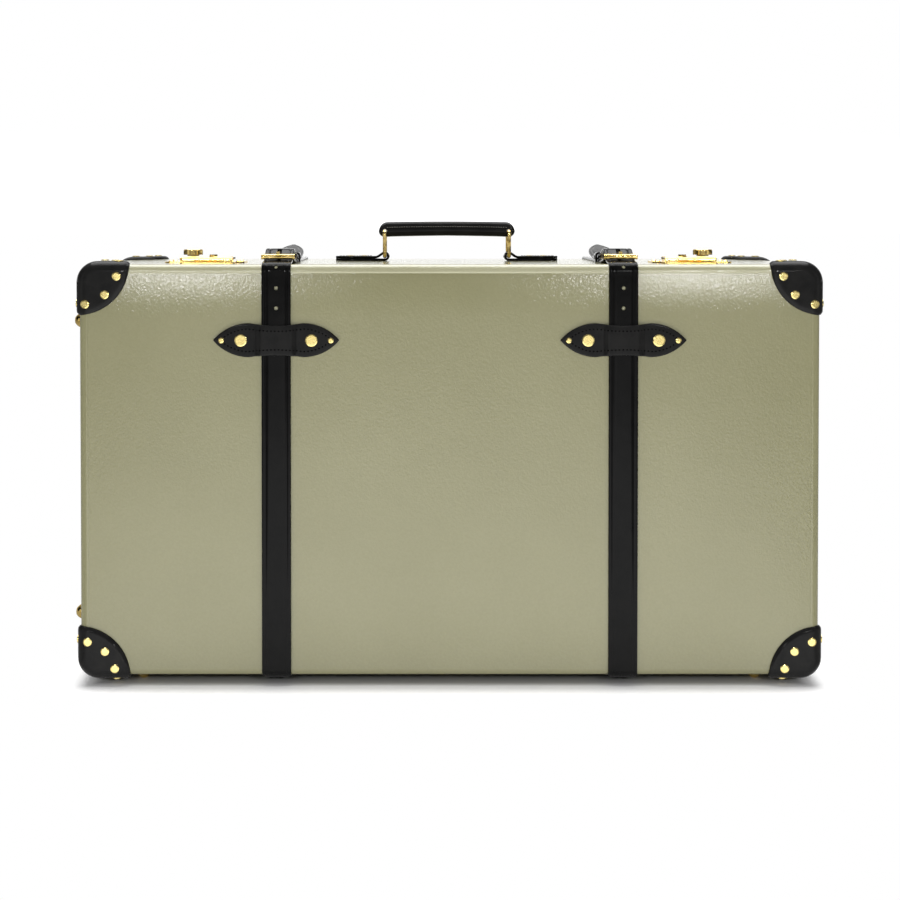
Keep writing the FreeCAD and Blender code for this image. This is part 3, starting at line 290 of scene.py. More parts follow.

# %% [markdown]
# ### Brass, thread, lining and steel
# Polished brass has faint wipe marks, and the rivets are a paler, dimpled brass. Thread
# is a twisted cord, so it is matt. The keepers' thread is near black with no shine, which
# is partly painted shade for the holes it is pulled into. The lining is a plain cotton
# weave. A picture of cloth would show where it repeats, so two crossed waves make it. The
# steel strip in the grip is plain and dull.

# %% Brass
material, tree, shader = new_finish("polished brass", Metallic=1.0)
cloud = noise(tree, 90.0, 3.0).outputs["Fac"]
wipe = noise(tree, 1800.0, 2.0).outputs["Fac"]
colour_by(tree, shader, cloud, (0.79, 0.55, 0.15), (0.93, 0.71, 0.28))
roughness_by(tree, shader, cloud, 0.07, 0.16)
bumps(tree, shader, ["Normal"], [(cloud, 0.3, 0.8), (wipe, 0.08, 0.05)])
FINISH["brass"] = material

material, tree, shader = new_finish("pale brass", Metallic=1.0)
dimple = noise(tree, 900.0, 2.0).outputs["Fac"]
colour_by(tree, shader, dimple, (0.65, 0.505, 0.173), (0.82, 0.694, 0.302))
roughness_by(tree, shader, dimple, 0.17, 0.28)
bumps(tree, shader, ["Normal"], [(dimple, 0.35, 0.3)])
FINISH["rivets"] = material
print("finishes:", FINISH["brass"].name, FINISH["rivets"].name)

# %% Thread, cotton lining and the steel strip
def thread(name, colour, shine):
    """Twisted sewing thread of one colour."""
    material, tree, shader = new_finish(name, Specular_IOR_Level=shine)
    twist = noise(tree, 3000.0, 2.0).outputs["Fac"]
    colour_by(tree, shader, twist, tuple(part * 0.7 for part in colour), colour)
    roughness_by(tree, shader, twist, 0.5, 0.75)
    bumps(tree, shader, ["Normal"], [(twist, 0.4, 0.1)])
    return material


# The keepers' black thread is real, but being near black and without shine it is partly painted shade
# for the stitch holes.
FINISH["black thread"] = thread("black thread", (0.001, 0.001, 0.001), 0.0)
FINISH["pale thread"] = thread("pale thread", (0.30, 0.29, 0.27), 0.3)

THREADS_PER_M = 260.0
material, tree, shader = new_finish("cotton lining", Specular_IOR_Level=0.25, Sheen_Weight=0.15)
place = add_node(tree, "TexCoord").outputs["Object"]
weave = []
for direction in ("X", "Z"):
    wave = add_node(
        tree, "TexWave", [(place, "Vector")], Scale=THREADS_PER_M, Distortion=0.6, Detail=1.0,
    )
    wave.bands_direction = direction
    weave.append(wave.outputs["Fac"])
cross = combine(tree, "MAXIMUM", *weave)
slub = noise(tree, 30.0, 4.0).outputs["Fac"]
colour_by(tree, shader, slub, (0.36, 0.31, 0.22), (0.39, 0.34, 0.25))
tree.links.new(spread(tree, cross, 0.0, 1.0, 0.95, 0.8), shader.inputs["Roughness"])
bumps(tree, shader, ["Normal"], [(cross, 0.35, 0.2), (slub, 0.2, 1.0)])
FINISH["lining"] = material

material, tree, shader = new_finish("plain steel", Metallic=1.0)
grain = noise(tree, 700.0, 3.0).outputs["Fac"]
colour_by(tree, shader, grain, (0.42, 0.42, 0.43), (0.55, 0.55, 0.56))
roughness_by(tree, shader, grain, 0.3, 0.45)
FINISH["steel"] = material
print("finishes:", sorted(FINISH))

# %% [markdown]
# ## The hard pieces
# Fibre, brass and steel solids keep the shapes that they were built with and only get
# their finish. They could be modelled again, but that would only copy what is exact
# already. The record says which slot each solid belongs to.

# %% Dress the solids
for entry in frame["record"]["subparts"]:
    solid = frame["nodes"][entry["node"]]
    solid.data.materials.clear()
    finish = "rivets" if entry["node"].endswith("rivets") else entry["material_slot"]
    solid.data.materials.append(FINISH[finish])

# %% [markdown]
# ## Helpers for leather
# Most leather here is a flat strip that runs along a path. Its section is rounded at
# the edges and has a creased line near each edge, as a strap maker presses in with a
# hot iron. A bevelled curve could make it too, but where it narrows it gets thinner as
# well. So one helper rounds a path's corners and another lofts the section along it,
# which narrows to a tip and stays as thick.

# %% Make a mesh piece
def make_piece(name, points, faces, finish, body, stands_for=(), sharp=50):
    """A mesh piece from points in millimetres that rides on a body."""
    mesh = bpy.data.meshes.new(name)
    mesh.from_pydata([tuple(float(c) * MM for c in point) for point in points], [], faces)
    work = bmesh.new()
    work.from_mesh(mesh)
    bmesh.ops.remove_doubles(work, verts=work.verts, dist=1e-6)
    bmesh.ops.dissolve_degenerate(work, edges=work.edges, dist=1e-7)
    bmesh.ops.recalc_face_normals(work, faces=work.faces)
    work.to_mesh(mesh)
    work.free()
    for polygon in mesh.polygons:
        polygon.use_smooth = True
    mesh.set_sharp_from_angle(angle=math.radians(sharp))
    mesh.materials.append(FINISH[finish])
    piece = bpy.data.objects.new(name, mesh)
    bpy.context.scene.collection.objects.link(piece)
    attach(piece, body)
    if stands_for:
        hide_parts(*stands_for)
    return piece


def loft(rings, close_first=True, close_last=True):
    """Points and faces that join rings of equal length, with a face over either end."""
    count = len(rings[0])
    points = [point for ring in rings for point in ring]
    faces = []
    for level in range(len(rings) - 1):
        for number in range(count):
            after = (number + 1) % count
            a, b = level * count + number, level * count + after
            faces.append((a, b, b + count, a + count))
    if close_first:
        faces.append(tuple(range(count)))
    if close_last:
        faces.append(tuple(range(len(points) - count, len(points))))
    return points, faces


print("a loft of two squares has", len(loft([[(0, 0, 0)] * 4, [(0, 0, 1)] * 4])[1]), "faces")

# %% Paths with rounded corners
BEND_STEP = math.radians(9)


def rounded_path(corners, step=3.0):
    """Points and left-hand normals along (a, b, radius) corners joined by arcs."""
    spots = [np.array(corner[:2], float) for corner in corners]
    trail = [spots[0]]
    for number in range(1, len(spots) - 1):
        before, here, after = spots[number - 1:number + 2]
        radius = corners[number][2]
        back = (before - here) / np.linalg.norm(before - here)
        ahead = (after - here) / np.linalg.norm(after - here)
        opening = math.acos(max(-1, min(1, float(back @ ahead))))
        reach = radius / math.tan(opening / 2)
        inward = (back + ahead) / np.linalg.norm(back + ahead)
        middle = here + inward * radius / math.sin(opening / 2)
        start, end = here + back * reach - middle, here + ahead * reach - middle
        sweep = math.pi - opening
        bends = max(4, int(sweep / BEND_STEP))
        for turn in range(bends + 1):
            share = turn / bends
            arm = math.sin((1 - share) * sweep) * start + math.sin(share * sweep) * end
            trail.append(middle + arm / math.sin(sweep))
    trail.append(spots[-1])
    dense = [trail[0]]
    for spot in trail[1:]:
        gap = np.linalg.norm(spot - dense[-1])
        if gap < 1e-4:
            continue
        pieces = max(1, int(gap / step))
        begin = dense[-1]
        for number in range(1, pieces + 1):
            dense.append(begin + (spot - begin) * number / pieces)
    dense = np.array(dense)
    along = np.gradient(dense, axis=0)
    along /= np.linalg.norm(along, axis=1)[:, None]
    return dense, np.stack([-along[:, 1], along[:, 0]], axis=1)


print("a square corner takes", len(rounded_path([(0, 0), (9, 0, 5), (9, 9)])[0]), "points")

# %% Strips of leather
TIP_LEAST, TIP_BLUNT = 0.12, 0.75


def runs_along(spots):
    """How far along a line of points each point is."""
    return np.concatenate([[0], np.cumsum(np.linalg.norm(np.diff(spots, axis=0), axis=1))])


def strip_section(width, thick, crease):
    """(across, height) points round a strip: flat below, rounded edges, creased lines above."""
    half = width / 2
    right = [
        (half - 0.5, 0.0), (half - 0.12, 0.25), (half, 0.7), (half, thick - 1.0),
        (half - 0.3, thick - 0.4), (half - 0.9, thick - 0.06),
    ]
    if crease:
        right += [
            (half - crease + 0.9, thick), (half - crease + 0.3, thick - 0.5),
            (half - crease - 0.3, thick - 0.5), (half - crease - 0.9, thick),
        ]
    right += [(half * 0.45, thick)]
    left = [(-across, height) for across, height in reversed(right)]
    return right + left


def strip(name, path, width, thick, place, body, stands_for=(), side=1, tip=None, crease=4.4):
    """A leather strip: thick to the left of its path (side 1) or to the right (side -1).

    tip is (length, end) where end 1 narrows the last run to a rounded point, -1 the
    first and 0 both. place turns (along a, along b, across) into X, Y, Z.
    """
    spots, normals = path
    section = strip_section(width, thick, crease)
    lengths = runs_along(spots)
    rings = []
    for spot, normal, run in zip(spots, normals, lengths):
        narrow = 1.0
        if tip:
            length, end = tip
            left = min(lengths[-1] - run if end >= 0 else length, run if end <= 0 else length)
            if left < length:
                narrow = max(TIP_LEAST, (1 - (1 - left / length) ** 2.0) ** TIP_BLUNT)
        ring = []
        for across, height in section:
            spot_3d = spot + normal * side * height
            ring.append(place(spot_3d[0], spot_3d[1], across * narrow))
        rings.append(ring)
    points, faces = loft(rings)
    return make_piece(name, points, faces, "leather", body, stands_for)


print("a creased strip has", len(strip_section(STRAP_WIDTH, STRAP_THICK, 4.4)), "points round it")

# %% [markdown]
# ### Stitches, holes and slots
# A sewn seam is a row of short stitches, each pulled into the leather at both ends. A
# bump in the finish could hint at them, but a small spindle of thread catches the light
# from every side. Buckle holes are punched out of real leather, and so they are here:
# an exact boolean takes a rod or a block away, which leaves clean walls.

# %% Stitches
STITCH_SIDES, STITCH_LEVELS = 6, 5
STITCH_FLAT, STITCH_END = 0.9, 0.25


def gather(parts):
    """Puts the points and faces of several small parts into one list of each."""
    points, faces = [], []
    for own_points, own_faces in parts:
        first = len(points)
        points += own_points
        faces += [tuple(first + number for number in face) for face in own_faces]
    return points, faces


def point_at(run, runs, line):
    """The point of a line of points at a distance along it."""
    return np.array([np.interp(run, runs, line[:, axis]) for axis in range(3)])


def stitch_row(name, spots, ups, pitch, body, finish="black thread", length=0.62, radius=0.42):
    """Short stitches of thread along a line of points, each lying on the leather."""
    spots = np.array(spots, float)
    ups = np.array(ups, float)
    runs = runs_along(spots)
    count = max(1, int(round(runs[-1] / pitch)))
    stitches = []
    for number in range(count):
        middle = (number + 0.5) * runs[-1] / count
        at, up = point_at(middle, runs, spots), point_at(middle, runs, ups)
        along = point_at(middle + 0.5, runs, spots) - point_at(middle - 0.5, runs, spots)
        along = along / np.linalg.norm(along)
        up = up / np.linalg.norm(up)
        across = np.cross(along, up)
        rings = []
        for turn in np.linspace(0, math.pi, STITCH_LEVELS):
            reach = -math.cos(turn) * pitch * length / 2
            girth = max(STITCH_END, math.sin(turn)) * radius
            ring = []
            for angle in np.linspace(0, 2 * math.pi, STITCH_SIDES + 1)[:-1]:
                wide, tall = math.cos(angle) * girth * STITCH_FLAT, math.sin(angle) * girth
                ring.append(at + along * reach + across * wide + up * tall)
            rings.append(ring)
        stitches.append(loft(rings))
    points, faces = gather(stitches)
    return make_piece(name, points, faces, finish, body)


print("a stitch has", STITCH_SIDES * STITCH_LEVELS, "points")

# %% Holes and slots
HOLE_SIDES = 24


def cut_away(piece, form):
    """Takes the form in a bmesh out of a piece."""
    mesh = bpy.data.meshes.new("cutter")
    form.to_mesh(mesh)
    form.free()
    cutter = bpy.data.objects.new("cutter", mesh)
    bpy.context.scene.collection.objects.link(cutter)
    step = piece.modifiers.new("cut", "BOOLEAN")
    step.operation = "DIFFERENCE"
    step.solver = "EXACT"
    step.object = cutter
    bpy.context.view_layer.update()
    shaped = piece.evaluated_get(bpy.context.evaluated_depsgraph_get())
    shaped_mesh = bpy.data.meshes.new_from_object(shaped)
    piece.modifiers.clear()
    piece.data = shaped_mesh
    bpy.data.objects.remove(cutter)


def cut_slot(piece, low, high):
    """Cuts a straight-sided slot out of a piece."""
    middle = Matrix.Translation((Vector(low) + Vector(high)) / 2 * MM)
    size = Matrix.Diagonal((*((Vector(high) - Vector(low)) * MM), 1.0))
    form = bmesh.new()
    bmesh.ops.create_cube(form, size=1.0, matrix=middle @ size)
    cut_away(piece, form)


def cut_holes(piece, punches, flare=1.0):
    """Cuts rods of (start, end, radius) in millimetres out of a piece, wider at the start by flare."""
    for start, end, radius in punches:
        axis = (Vector(end) - Vector(start)) * MM
        form = bmesh.new()
        turn = axis.to_track_quat("Z", "Y").to_matrix().to_4x4()
        middle = Matrix.Translation((Vector(start) + Vector(end)) / 2 * MM)
        bmesh.ops.create_cone(
            form, cap_ends=True, segments=HOLE_SIDES, depth=axis.length, matrix=middle @ turn,
            radius1=flare * radius * MM, radius2=radius * MM,
        )
        cut_away(piece, form)


print("a hole has", HOLE_SIDES, "sides")

# %% [markdown]
# ## Corner caps
# Wet leather is pressed over each corner and dries to its shape. A cap could be
# sculpted, or a patch could be shrink-wrapped on the case. But the case is a rounded
# box, so a formula gives the exact distance of any point from its skin. Rays from a
# point inside the corner find the leather's surface over that skin, and a ball trims
# its edge, which is thinned so that it lies flat.

# %% Distance from the skin of the case
EDGE_RADIUS = 8
CORNER_RADIUS = 20
RAY_LENGTH, HALVINGS = 200.0, 40


def skin_distance(points):
    """How far points in millimetres are outside the closed case."""
    across = np.abs(points[..., 0]) - (HALF_WIDTH - CORNER_RADIUS)
    level = np.abs(points[..., 2] - MID) - ((TOP - LOW) / 2 - CORNER_RADIUS)
    outline = np.hypot(np.maximum(across, 0), np.maximum(level, 0))
    outline = outline + np.minimum(np.maximum(across, level), 0) - CORNER_RADIUS
    rim = outline + EDGE_RADIUS
    depth = np.abs(points[..., 1]) - (BACK - EDGE_RADIUS)
    edge = np.hypot(np.maximum(rim, 0), np.maximum(depth, 0))
    return edge + np.minimum(np.maximum(rim, depth), 0) - EDGE_RADIUS


def on_skin(start, rays, lift):
    """Where rays from a point inside the case reach a height over its skin."""
    low = np.zeros(rays.shape[:-1])
    high = np.full(rays.shape[:-1], RAY_LENGTH)
    for _ in range(HALVINGS):
        middle = (low + high) / 2
        outside = skin_distance(start + rays * middle[..., None]) > lift
        high = np.where(outside, middle, high)
        low = np.where(outside, low, middle)
    return start + rays * low[..., None]


off_skin = skin_distance(np.array([0, FRONT, MID]))
print("the middle of the face is", float(off_skin), "mm off the skin")

# %% Thickness of a cap
CAP_THICK, CAP_RUN, CAP_SKIVE = 4.0, 62, 6
CAP_RIM_LOW, CAP_RIM_ROUND, CAP_RIM_WIDE = 0.9, 0.5, 0.8


def cap_lift(share):
    """How high the cap stands over the skin, from the corner (0) to its thinned rim (1)."""
    inset = (1 - share) * CAP_RUN
    skived = math.sin(min(inset / CAP_SKIVE, 1.0) * math.pi / 2)
    rounded = math.sqrt(max(0.0, 1 - (1 - min(inset / CAP_RIM_WIDE, 1.0)) ** 2))
    thick = CAP_THICK - CAP_RIM_LOW - CAP_RIM_ROUND
    return SEAT + CAP_RIM_LOW + CAP_RIM_ROUND * rounded + thick * skived


print("a cap stands", cap_lift(0), "mm high at its corner and", cap_lift(1), "mm at its rim")

# %% Shape the caps
CAP_HEART, CAP_BALL, CAP_BALL_OUT = 42, 63.4, 5
CAP_COLUMNS, WIDEST_LEAN = 96, 2.2
OUTER_SHARES = [*np.linspace(0, 0.93, 22), 0.95, 0.965, 0.978, 0.988, 0.995, 1.0]
UNDER_SHARES = [1.0, 0.9, 0.75, 0.6, 0.45, 0.3, 0.15, 0.02]


def cap(name, side, depth, height, body):
    """Leather pressed over one corner: side, depth and height are -1 or 1."""
    out = np.array([side, depth, height], float)
    corner = np.array([side * HALF_WIDTH, depth * BACK, MID + height * (TOP - LOW) / 2])
    start = corner - out * CAP_HEART
    ball = corner + out * CAP_BALL_OUT
    pole = out / math.sqrt(3)
    first = np.cross(pole, [0, 0, 1.0])
    first /= np.linalg.norm(first)
    second = np.cross(pole, first)
    turns = np.linspace(0, 2 * math.pi, CAP_COLUMNS + 1)[:-1]
    around = np.cos(turns)[:, None] * first + np.sin(turns)[:, None] * second

    def rays_at(lean):
        return np.cos(lean)[:, None] * pole + np.sin(lean)[:, None] * around

    near, far = np.zeros(CAP_COLUMNS), np.full(CAP_COLUMNS, WIDEST_LEAN)
    for _ in range(HALVINGS):
        lean = (near + far) / 2
        spots = on_skin(start, rays_at(lean), SEAT + CAP_THICK)
        past = np.linalg.norm(spots - ball, axis=1) > CAP_BALL
        far = np.where(past, lean, far)
        near = np.where(past, near, lean)
    rim_lean = near
    rings = [on_skin(start, rays_at(rim_lean * share), cap_lift(share)) for share in OUTER_SHARES]
    rings += [on_skin(start, rays_at(rim_lean * share), SEAT) for share in UNDER_SHARES]
    points, faces = loft(rings, close_first=False)
    return make_piece(f"{name}_leather", points, faces, "painted-lighter cap leather", body, [name])


for face, depth, body in (("front", -1, "lid"), ("rear", 1, "base")):
    for level, height in (("top", 1), ("bottom", -1)):
        for word, side in SIDES:
            made = cap(f"cap_{face}_{level}_{word}", side, depth, height, body)
print("corner caps, last one has", len(made.data.vertices), "points")

# %% [markdown]
# ## Rolled front edges
# The fibre of the lid is rolled over at the top and end edges in front, which shows as
# a bright bead between the caps. A bevel on the lid would round the edge but not raise
# it, so each side gets one long bead: it follows the rounded edge a little above the
# sheet, ends in a small lip on the face, and goes in under the caps. The top bead is
# in the paler fibre, so its brightness is partly a painted highlight.

# %% Edge beads
CAP_REACH = 48
BEAD_LIPS = [(-8.7, 0.95), (-9.3, 0.61), (-9.7, 0.06), (-9.8, -0.67)]
BEAD_LIFT = 0.3
TOP_LIP, END_LIP = 0.6, 0.1
BEAD_WALL = [(0.0, -11.0), (0.25, -10.2)]
BEAD_INSIDE = [(-3.4, -3.4), (-0.6, -11.4)]


def bead_section(lip):
    """(across, out) points of a bead: a wall lip, the round edge, a face lip and the inside."""
    section = list(BEAD_WALL)
    for turn in np.linspace(0, math.pi / 2, 14):
        reach = EDGE_RADIUS + BEAD_LIFT + lip * math.sin(turn)
        across, out = reach * math.cos(turn), reach * math.sin(turn)
        section.append((across - EDGE_RADIUS, out - EDGE_RADIUS))
    section += [(across, share * (BEAD_LIFT + lip)) for across, share in BEAD_LIPS]
    return section + BEAD_INSIDE


def edge_bead(name, along, half, outward, middle, lip=END_LIP, finish="fibre"):
    """A bead along one front edge: half its length, and the edge's direction and place."""
    rings = []
    for run in np.linspace(-half, half, 30):
        ring = []
        for across, out in bead_section(lip):
            spot = middle + along * run + outward * across
            ring.append((spot[0], FRONT - out, spot[2]))
        rings.append(ring)
    points, faces = loft(rings)
    return make_piece(name, points, faces, finish, "lid", sharp=60)


right, up = np.array([1.0, 0, 0]), np.array([0, 0, 1.0])
half_long, half_tall = HALF_WIDTH - CAP_REACH, (TOP - LOW) / 2 - CAP_REACH
# The top bead's paler fibre is a painted highlight.
edge_bead("lid_bead_top", right, half_long, up, np.array([0, 0, TOP]), TOP_LIP, "paler painted-light fibre")
edge_bead("lid_bead_left", up, half_tall, -right, np.array([-HALF_WIDTH, 0, MID]))
bead = edge_bead("lid_bead_right", up, half_tall, right, np.array([HALF_WIDTH, 0, MID]))
print("edge beads:", len(bead.data.vertices), "points in one")

# %% [markdown]
# ## Straps round the case
# Each strap starts at the mouth under the case, turns up one face and goes over the
# top edge. Cloth could be simulated here, but the leather is stiff and pulled tight, so
# a strip along a rounded path is truer. The front run has buckle holes, one of them on
# the bend, and in each a disc of the paler fibre is raised up into the hole: painted
# light, where the hole's depth would shade the fibre.

# %% Runs of a strap
def in_depth(x):
    """Puts a path drawn in (Y, Z) at a strap's X."""
    return lambda y, z, across: (x + across, y, z)


def strap_run(name, x, face, mouth_end, top_end, body):
    """A strap from the mouth under the case, up one face and over the top edge."""
    out = 1 if face > 0 else -1
    near, below, above = face + out * SEAT, LOW - SEAT, TOP + SEAT
    path = rounded_path([
        (mouth_end, below), (near, below, EDGE_RADIUS), (near, above, EDGE_RADIUS), (top_end, above),
    ], step=9)
    return strip(
        f"{name}_leather", path, STRAP_WIDTH, STRAP_THICK, in_depth(x), body, [name], side=-out,
    )


print("straps are", STRAP_WIDTH, "by", STRAP_THICK, "mm")

# %% Painted-light fibre in the buckle holes
HOLE_FLOOR = [(0.3, 2.1), (0.75, 2.25), (1.0, 2.5), (1.0, 4.0)]
FLOOR_SIDES = 16


def hole_floors(name, punches):
    """A disc of the paler fibre raised up into each buckle hole: painted light where the hole's depth
    would shade the fibre.
    """
    floors = []
    for start, end, radius in punches:
        start, end = Vector(start), Vector(end)
        inward = (end - start).normalized()
        first = inward.orthogonal().normalized()
        second = inward.cross(first)
        rings = []
        for share, depth in HOLE_FLOOR:
            ring = []
            for turn in np.linspace(0, 2 * math.pi, FLOOR_SIDES + 1)[:-1]:
                outward = first * math.cos(turn) + second * math.sin(turn)
                ring.append(start + inward * depth + outward * radius * share)
            rings.append(ring)
        floors.append(loft(rings))
    points, faces = gather(floors)
    return make_piece(name, points, faces, "paler painted-light fibre", "lid", sharp=60)


print("the fibre in a hole lies", HOLE_FLOOR[0][1], "mm down from the punch's start")

# %% Front and rear runs
HOLE_FIRST, HOLE_STEP, HOLE_RADIUS, HOLE_FLARE = 26.5, 22.8, 2.15, 1.1
PUNCH_OUT, PUNCH_IN = 3.6, 0.5
BEND_AWAY, BEND_OUT, BEND_IN = Vector((0, -0.85, 0.53)), 12, 7.5
STRAP_GAP, TOP_OVERLAP = 0.6, 11

for word, side in SIDES:
    x = side * STRAP_X
    front = strap_run(f"strap_front_{word}", x, FRONT, MOUTH, FRONT + TOP_OVERLAP, "lid")
    punches = []
    for number in range(2):
        z = TOP - HOLE_FIRST - number * HOLE_STEP
        punches.append(((x, FRONT - PUNCH_OUT, z), (x, FRONT + PUNCH_IN, z), HOLE_RADIUS))
    bend = Vector((x, FRONT + EDGE_RADIUS, TOP - EDGE_RADIUS))
    punches.append((bend + BEND_AWAY * BEND_OUT, bend + BEND_AWAY * BEND_IN, HOLE_RADIUS))
    cut_holes(front, punches, HOLE_FLARE)
    hole_floors(f"strap_front_{word}_hole_floors", punches)
    mouth_end = MOUTH + STRAP_GAP
    strap_run(f"strap_rear_{word}", x, BACK, mouth_end, BACK - TOP_OVERLAP, "base")
print("straps with holes:", len(front.data.vertices), "points each in front")

# %% [markdown]
# ## Keepers
# A leaf of leather with a narrow waist bridges each strap and is sewn round its edge.
# It could be a flat outline with thickness and a bevel, but it has to bend over the
# strap. So the leaf is a grid: columns run along it, and rows follow the edge inwards,
# and the rounded edge and the stitches keep an even distance from the outline.

# %% The leaf
LEAF_TIP, LEAF_HALF, LEAF_WAIST, LEAF_BUMP = 71.5, 19.3, 17.0, 30.5
KEEPER_Z = TOP - 85.5


def leaf_edge(x):
    """Half height of the leaf at a distance from its middle."""
    x = abs(x)
    dip = LEAF_HALF - LEAF_WAIST
    waist_radius = (LEAF_BUMP ** 2 + dip ** 2) / (2 * dip)
    run = LEAF_TIP - LEAF_BUMP
    end_radius = (run ** 2 + LEAF_HALF ** 2) / (2 * LEAF_HALF)
    if x < LEAF_BUMP:
        return LEAF_WAIST + waist_radius - math.sqrt(waist_radius ** 2 - x ** 2)
    return math.sqrt(max(0, end_radius ** 2 - (x - LEAF_BUMP) ** 2)) - (end_radius - LEAF_HALF)


def leaf_inset(x, inset):
    """Half height of a smaller leaf whose edge runs inside the leaf's edge."""
    slope = (leaf_edge(x + 0.05) - leaf_edge(x - 0.05)) / 0.1
    return leaf_edge(x) - inset * math.hypot(1, slope)


def leaf_tip(inset):
    """How far from the middle that smaller leaf comes to its point."""
    near, far = LEAF_BUMP, LEAF_TIP
    for _ in range(HALVINGS):
        middle = (near + far) / 2
        if leaf_inset(middle, inset) > 0:
            near = middle
        else:
            far = middle
    return near


def bridge(x, inner, ramp_width=4.0):
    """How far the keeper stands off the case where it crosses the strap."""
    share = min(1.0, max(0.0, (inner + ramp_width - abs(x)) / ramp_width))
    return (STRAP_THICK + SEAT) * share * share * (3 - 2 * share)


print("the leaf is", round(2 * leaf_tip(0), 1), "by", round(2 * leaf_edge(LEAF_BUMP), 1), "mm")

# %% A keeper's leather
EDGE_ROWS = [(0.0, 0.9), (0.15, 1.7), (0.5, 2.5), (1.1, 2.92), (1.8, 3.0), (6.0, 3.0)]
MIDDLE_SHARES = (0.8, 0.5, 0.2)
BRIDGE_OVER, BRIDGE_UNDER = STRAP_WIDTH / 2 + 2.0, STRAP_WIDTH / 2 + 0.5


def keeper(name, x, face, body):
    """A leaf over a strap on one face of the case."""
    out = 1 if face > 0 else -1
    columns = np.sin(np.linspace(-math.pi / 2, math.pi / 2, 91))
    rows = [(inset, rise, 1.0) for inset, rise in EDGE_ROWS]
    rows += [(*EDGE_ROWS[-1], share) for share in MIDDLE_SHARES]
    rows += [(inset, rise, -share) for inset, rise, share in reversed(rows)]
    tips = {inset: leaf_tip(inset) for inset, _, _ in rows}
    grid = []
    for column in columns:
        line = []
        for inset, rise, share in rows:
            along = column * tips[inset]
            up = max(0.0, leaf_inset(along, inset)) * share
            off = SEAT + bridge(along, BRIDGE_OVER) + rise
            line.append((x + along, face + out * off, KEEPER_Z + up))
        for share in (-1.0, 1.0):
            along = column * tips[0.0]
            up = max(0.0, leaf_edge(along)) * share
            off = SEAT + bridge(along, BRIDGE_UNDER)
            line.append((x + along, face + out * off, KEEPER_Z + up))
        grid.append(line)
    points, faces = loft(grid, close_first=False, close_last=False)
    return make_piece(f"{name}_leather", points, faces, "painted-lighter keeper leather", body, [name])


print("a keeper has", len(EDGE_ROWS), "rows at each edge")

# %% Keepers and their stitches
STITCH_INSET, STITCH_RISE, KEEPER_PITCH = 6.5, 2.85, 4.3


def keeper_stitches(name, x, face, body):
    """The row of stitches round a keeper: fat near-black thread, partly painted shade for the stitch
    holes.
    """
    out = 1 if face > 0 else -1
    tip = leaf_tip(STITCH_INSET)
    line, ups = [], []
    for half in (1, -1):
        for along in np.linspace(-tip, tip, 120)[::half]:
            up = max(0.0, leaf_inset(along, STITCH_INSET)) * half
            off = SEAT + bridge(along, BRIDGE_OVER) + STITCH_RISE
            line.append((x + along, face + out * off, KEEPER_Z + up))
            ups.append((0, out, 0))
    stitch_row(f"{name}_stitches", line, ups, KEEPER_PITCH, body, length=0.46, radius=0.95)


for word, side in SIDES:
    for which, face, body in (("front", FRONT, "lid"), ("rear", BACK, "base")):
        name = f"{which}_keeper_{word}"
        leaf = keeper(name, side * STRAP_X, face, body)
        keeper_stitches(name, side * STRAP_X, face, body)
print("keepers:", len(leaf.data.vertices), "points each")

# %% [markdown]
# ## Strap ends on top
# The rear run comes over the back edge, lies along the top and folds round the
# buckle's heel bar. The front run's tail goes under the buckle's front bar, over the
# fold, through a loop, and its tip lifts off the case. A curve drawn by hand could go
# the same way. Corners with radii are chosen because each is set from the buckle's own
# places, so the leather keeps clear of its bars.

# %% Paths of the fold and the tail
TOP_SEAT = TOP + SEAT
HEEL_Y, HEEL_Z, FOLD_RADIUS = FRONT + 52, TOP + 8.5, 5.9
FOLD_BEND = FOLD_RADIUS - 0.01
RUN_GAP = 0.4
TWO_LAYERS = TOP_SEAT + 2 * STRAP_THICK
FOLD_CORNERS = [
    (BACK - TOP_OVERLAP - RUN_GAP, TOP_SEAT),
    (HEEL_Y + 26, TOP_SEAT, 30),
    (HEEL_Y + 5, HEEL_Z - FOLD_RADIUS, 12),
    (HEEL_Y - FOLD_RADIUS, HEEL_Z - FOLD_RADIUS, FOLD_BEND),
    (HEEL_Y - FOLD_RADIUS, HEEL_Z + FOLD_RADIUS, FOLD_BEND),
    (HEEL_Y + 3, HEEL_Z + FOLD_RADIUS, 8),
    (HEEL_Y + 24, TWO_LAYERS, 14),
    (HEEL_Y + 38, TWO_LAYERS),
]
TAIL_CORNERS = [
    (FRONT + TOP_OVERLAP + RUN_GAP, TOP_SEAT),
    (FRONT + 25, TOP_SEAT + 2.1, 10),
    (HEEL_Y - 5.9, TOP_SEAT + 13.85, 7),
    (HEEL_Y + 2, TOP_SEAT + 14.6, 7),
    (HEEL_Y + 38, TOP_SEAT + 6.3, 30),
    (HEEL_Y + 50, TOP_SEAT + 3.3, 20),
    (FRONT + 150, TOP_SEAT + 3.3, 70),
    (FRONT + 228, TOP_SEAT + 16.3),
]
fold_path, tail_path = rounded_path(FOLD_CORNERS), rounded_path(TAIL_CORNERS)
fold_long, tail_long = runs_along(fold_path[0])[-1], runs_along(tail_path[0])[-1]
print("fold", round(fold_long), "mm, tail", round(tail_long), "mm")

# %% Fold, tail and loop
PRONG_SLOT, SLOT_TOP = 2.7, HEEL_Z + 14
FOLD_THICK, LOOP_THICK, LOOP_BEND, LOOP_CREASE = STRAP_THICK - 0.05, 2.2, 4.0, 2.2
TAIL_TIP = 52
TAIL_HOLES = (HEEL_Y + 20, HEEL_Y + 64)


def in_width(y, mirror=1):
    """Puts a path drawn in (X, Z) at a Y, turned round where mirror is -1."""
    return lambda x, z, across: (mirror * x, y + across, z)


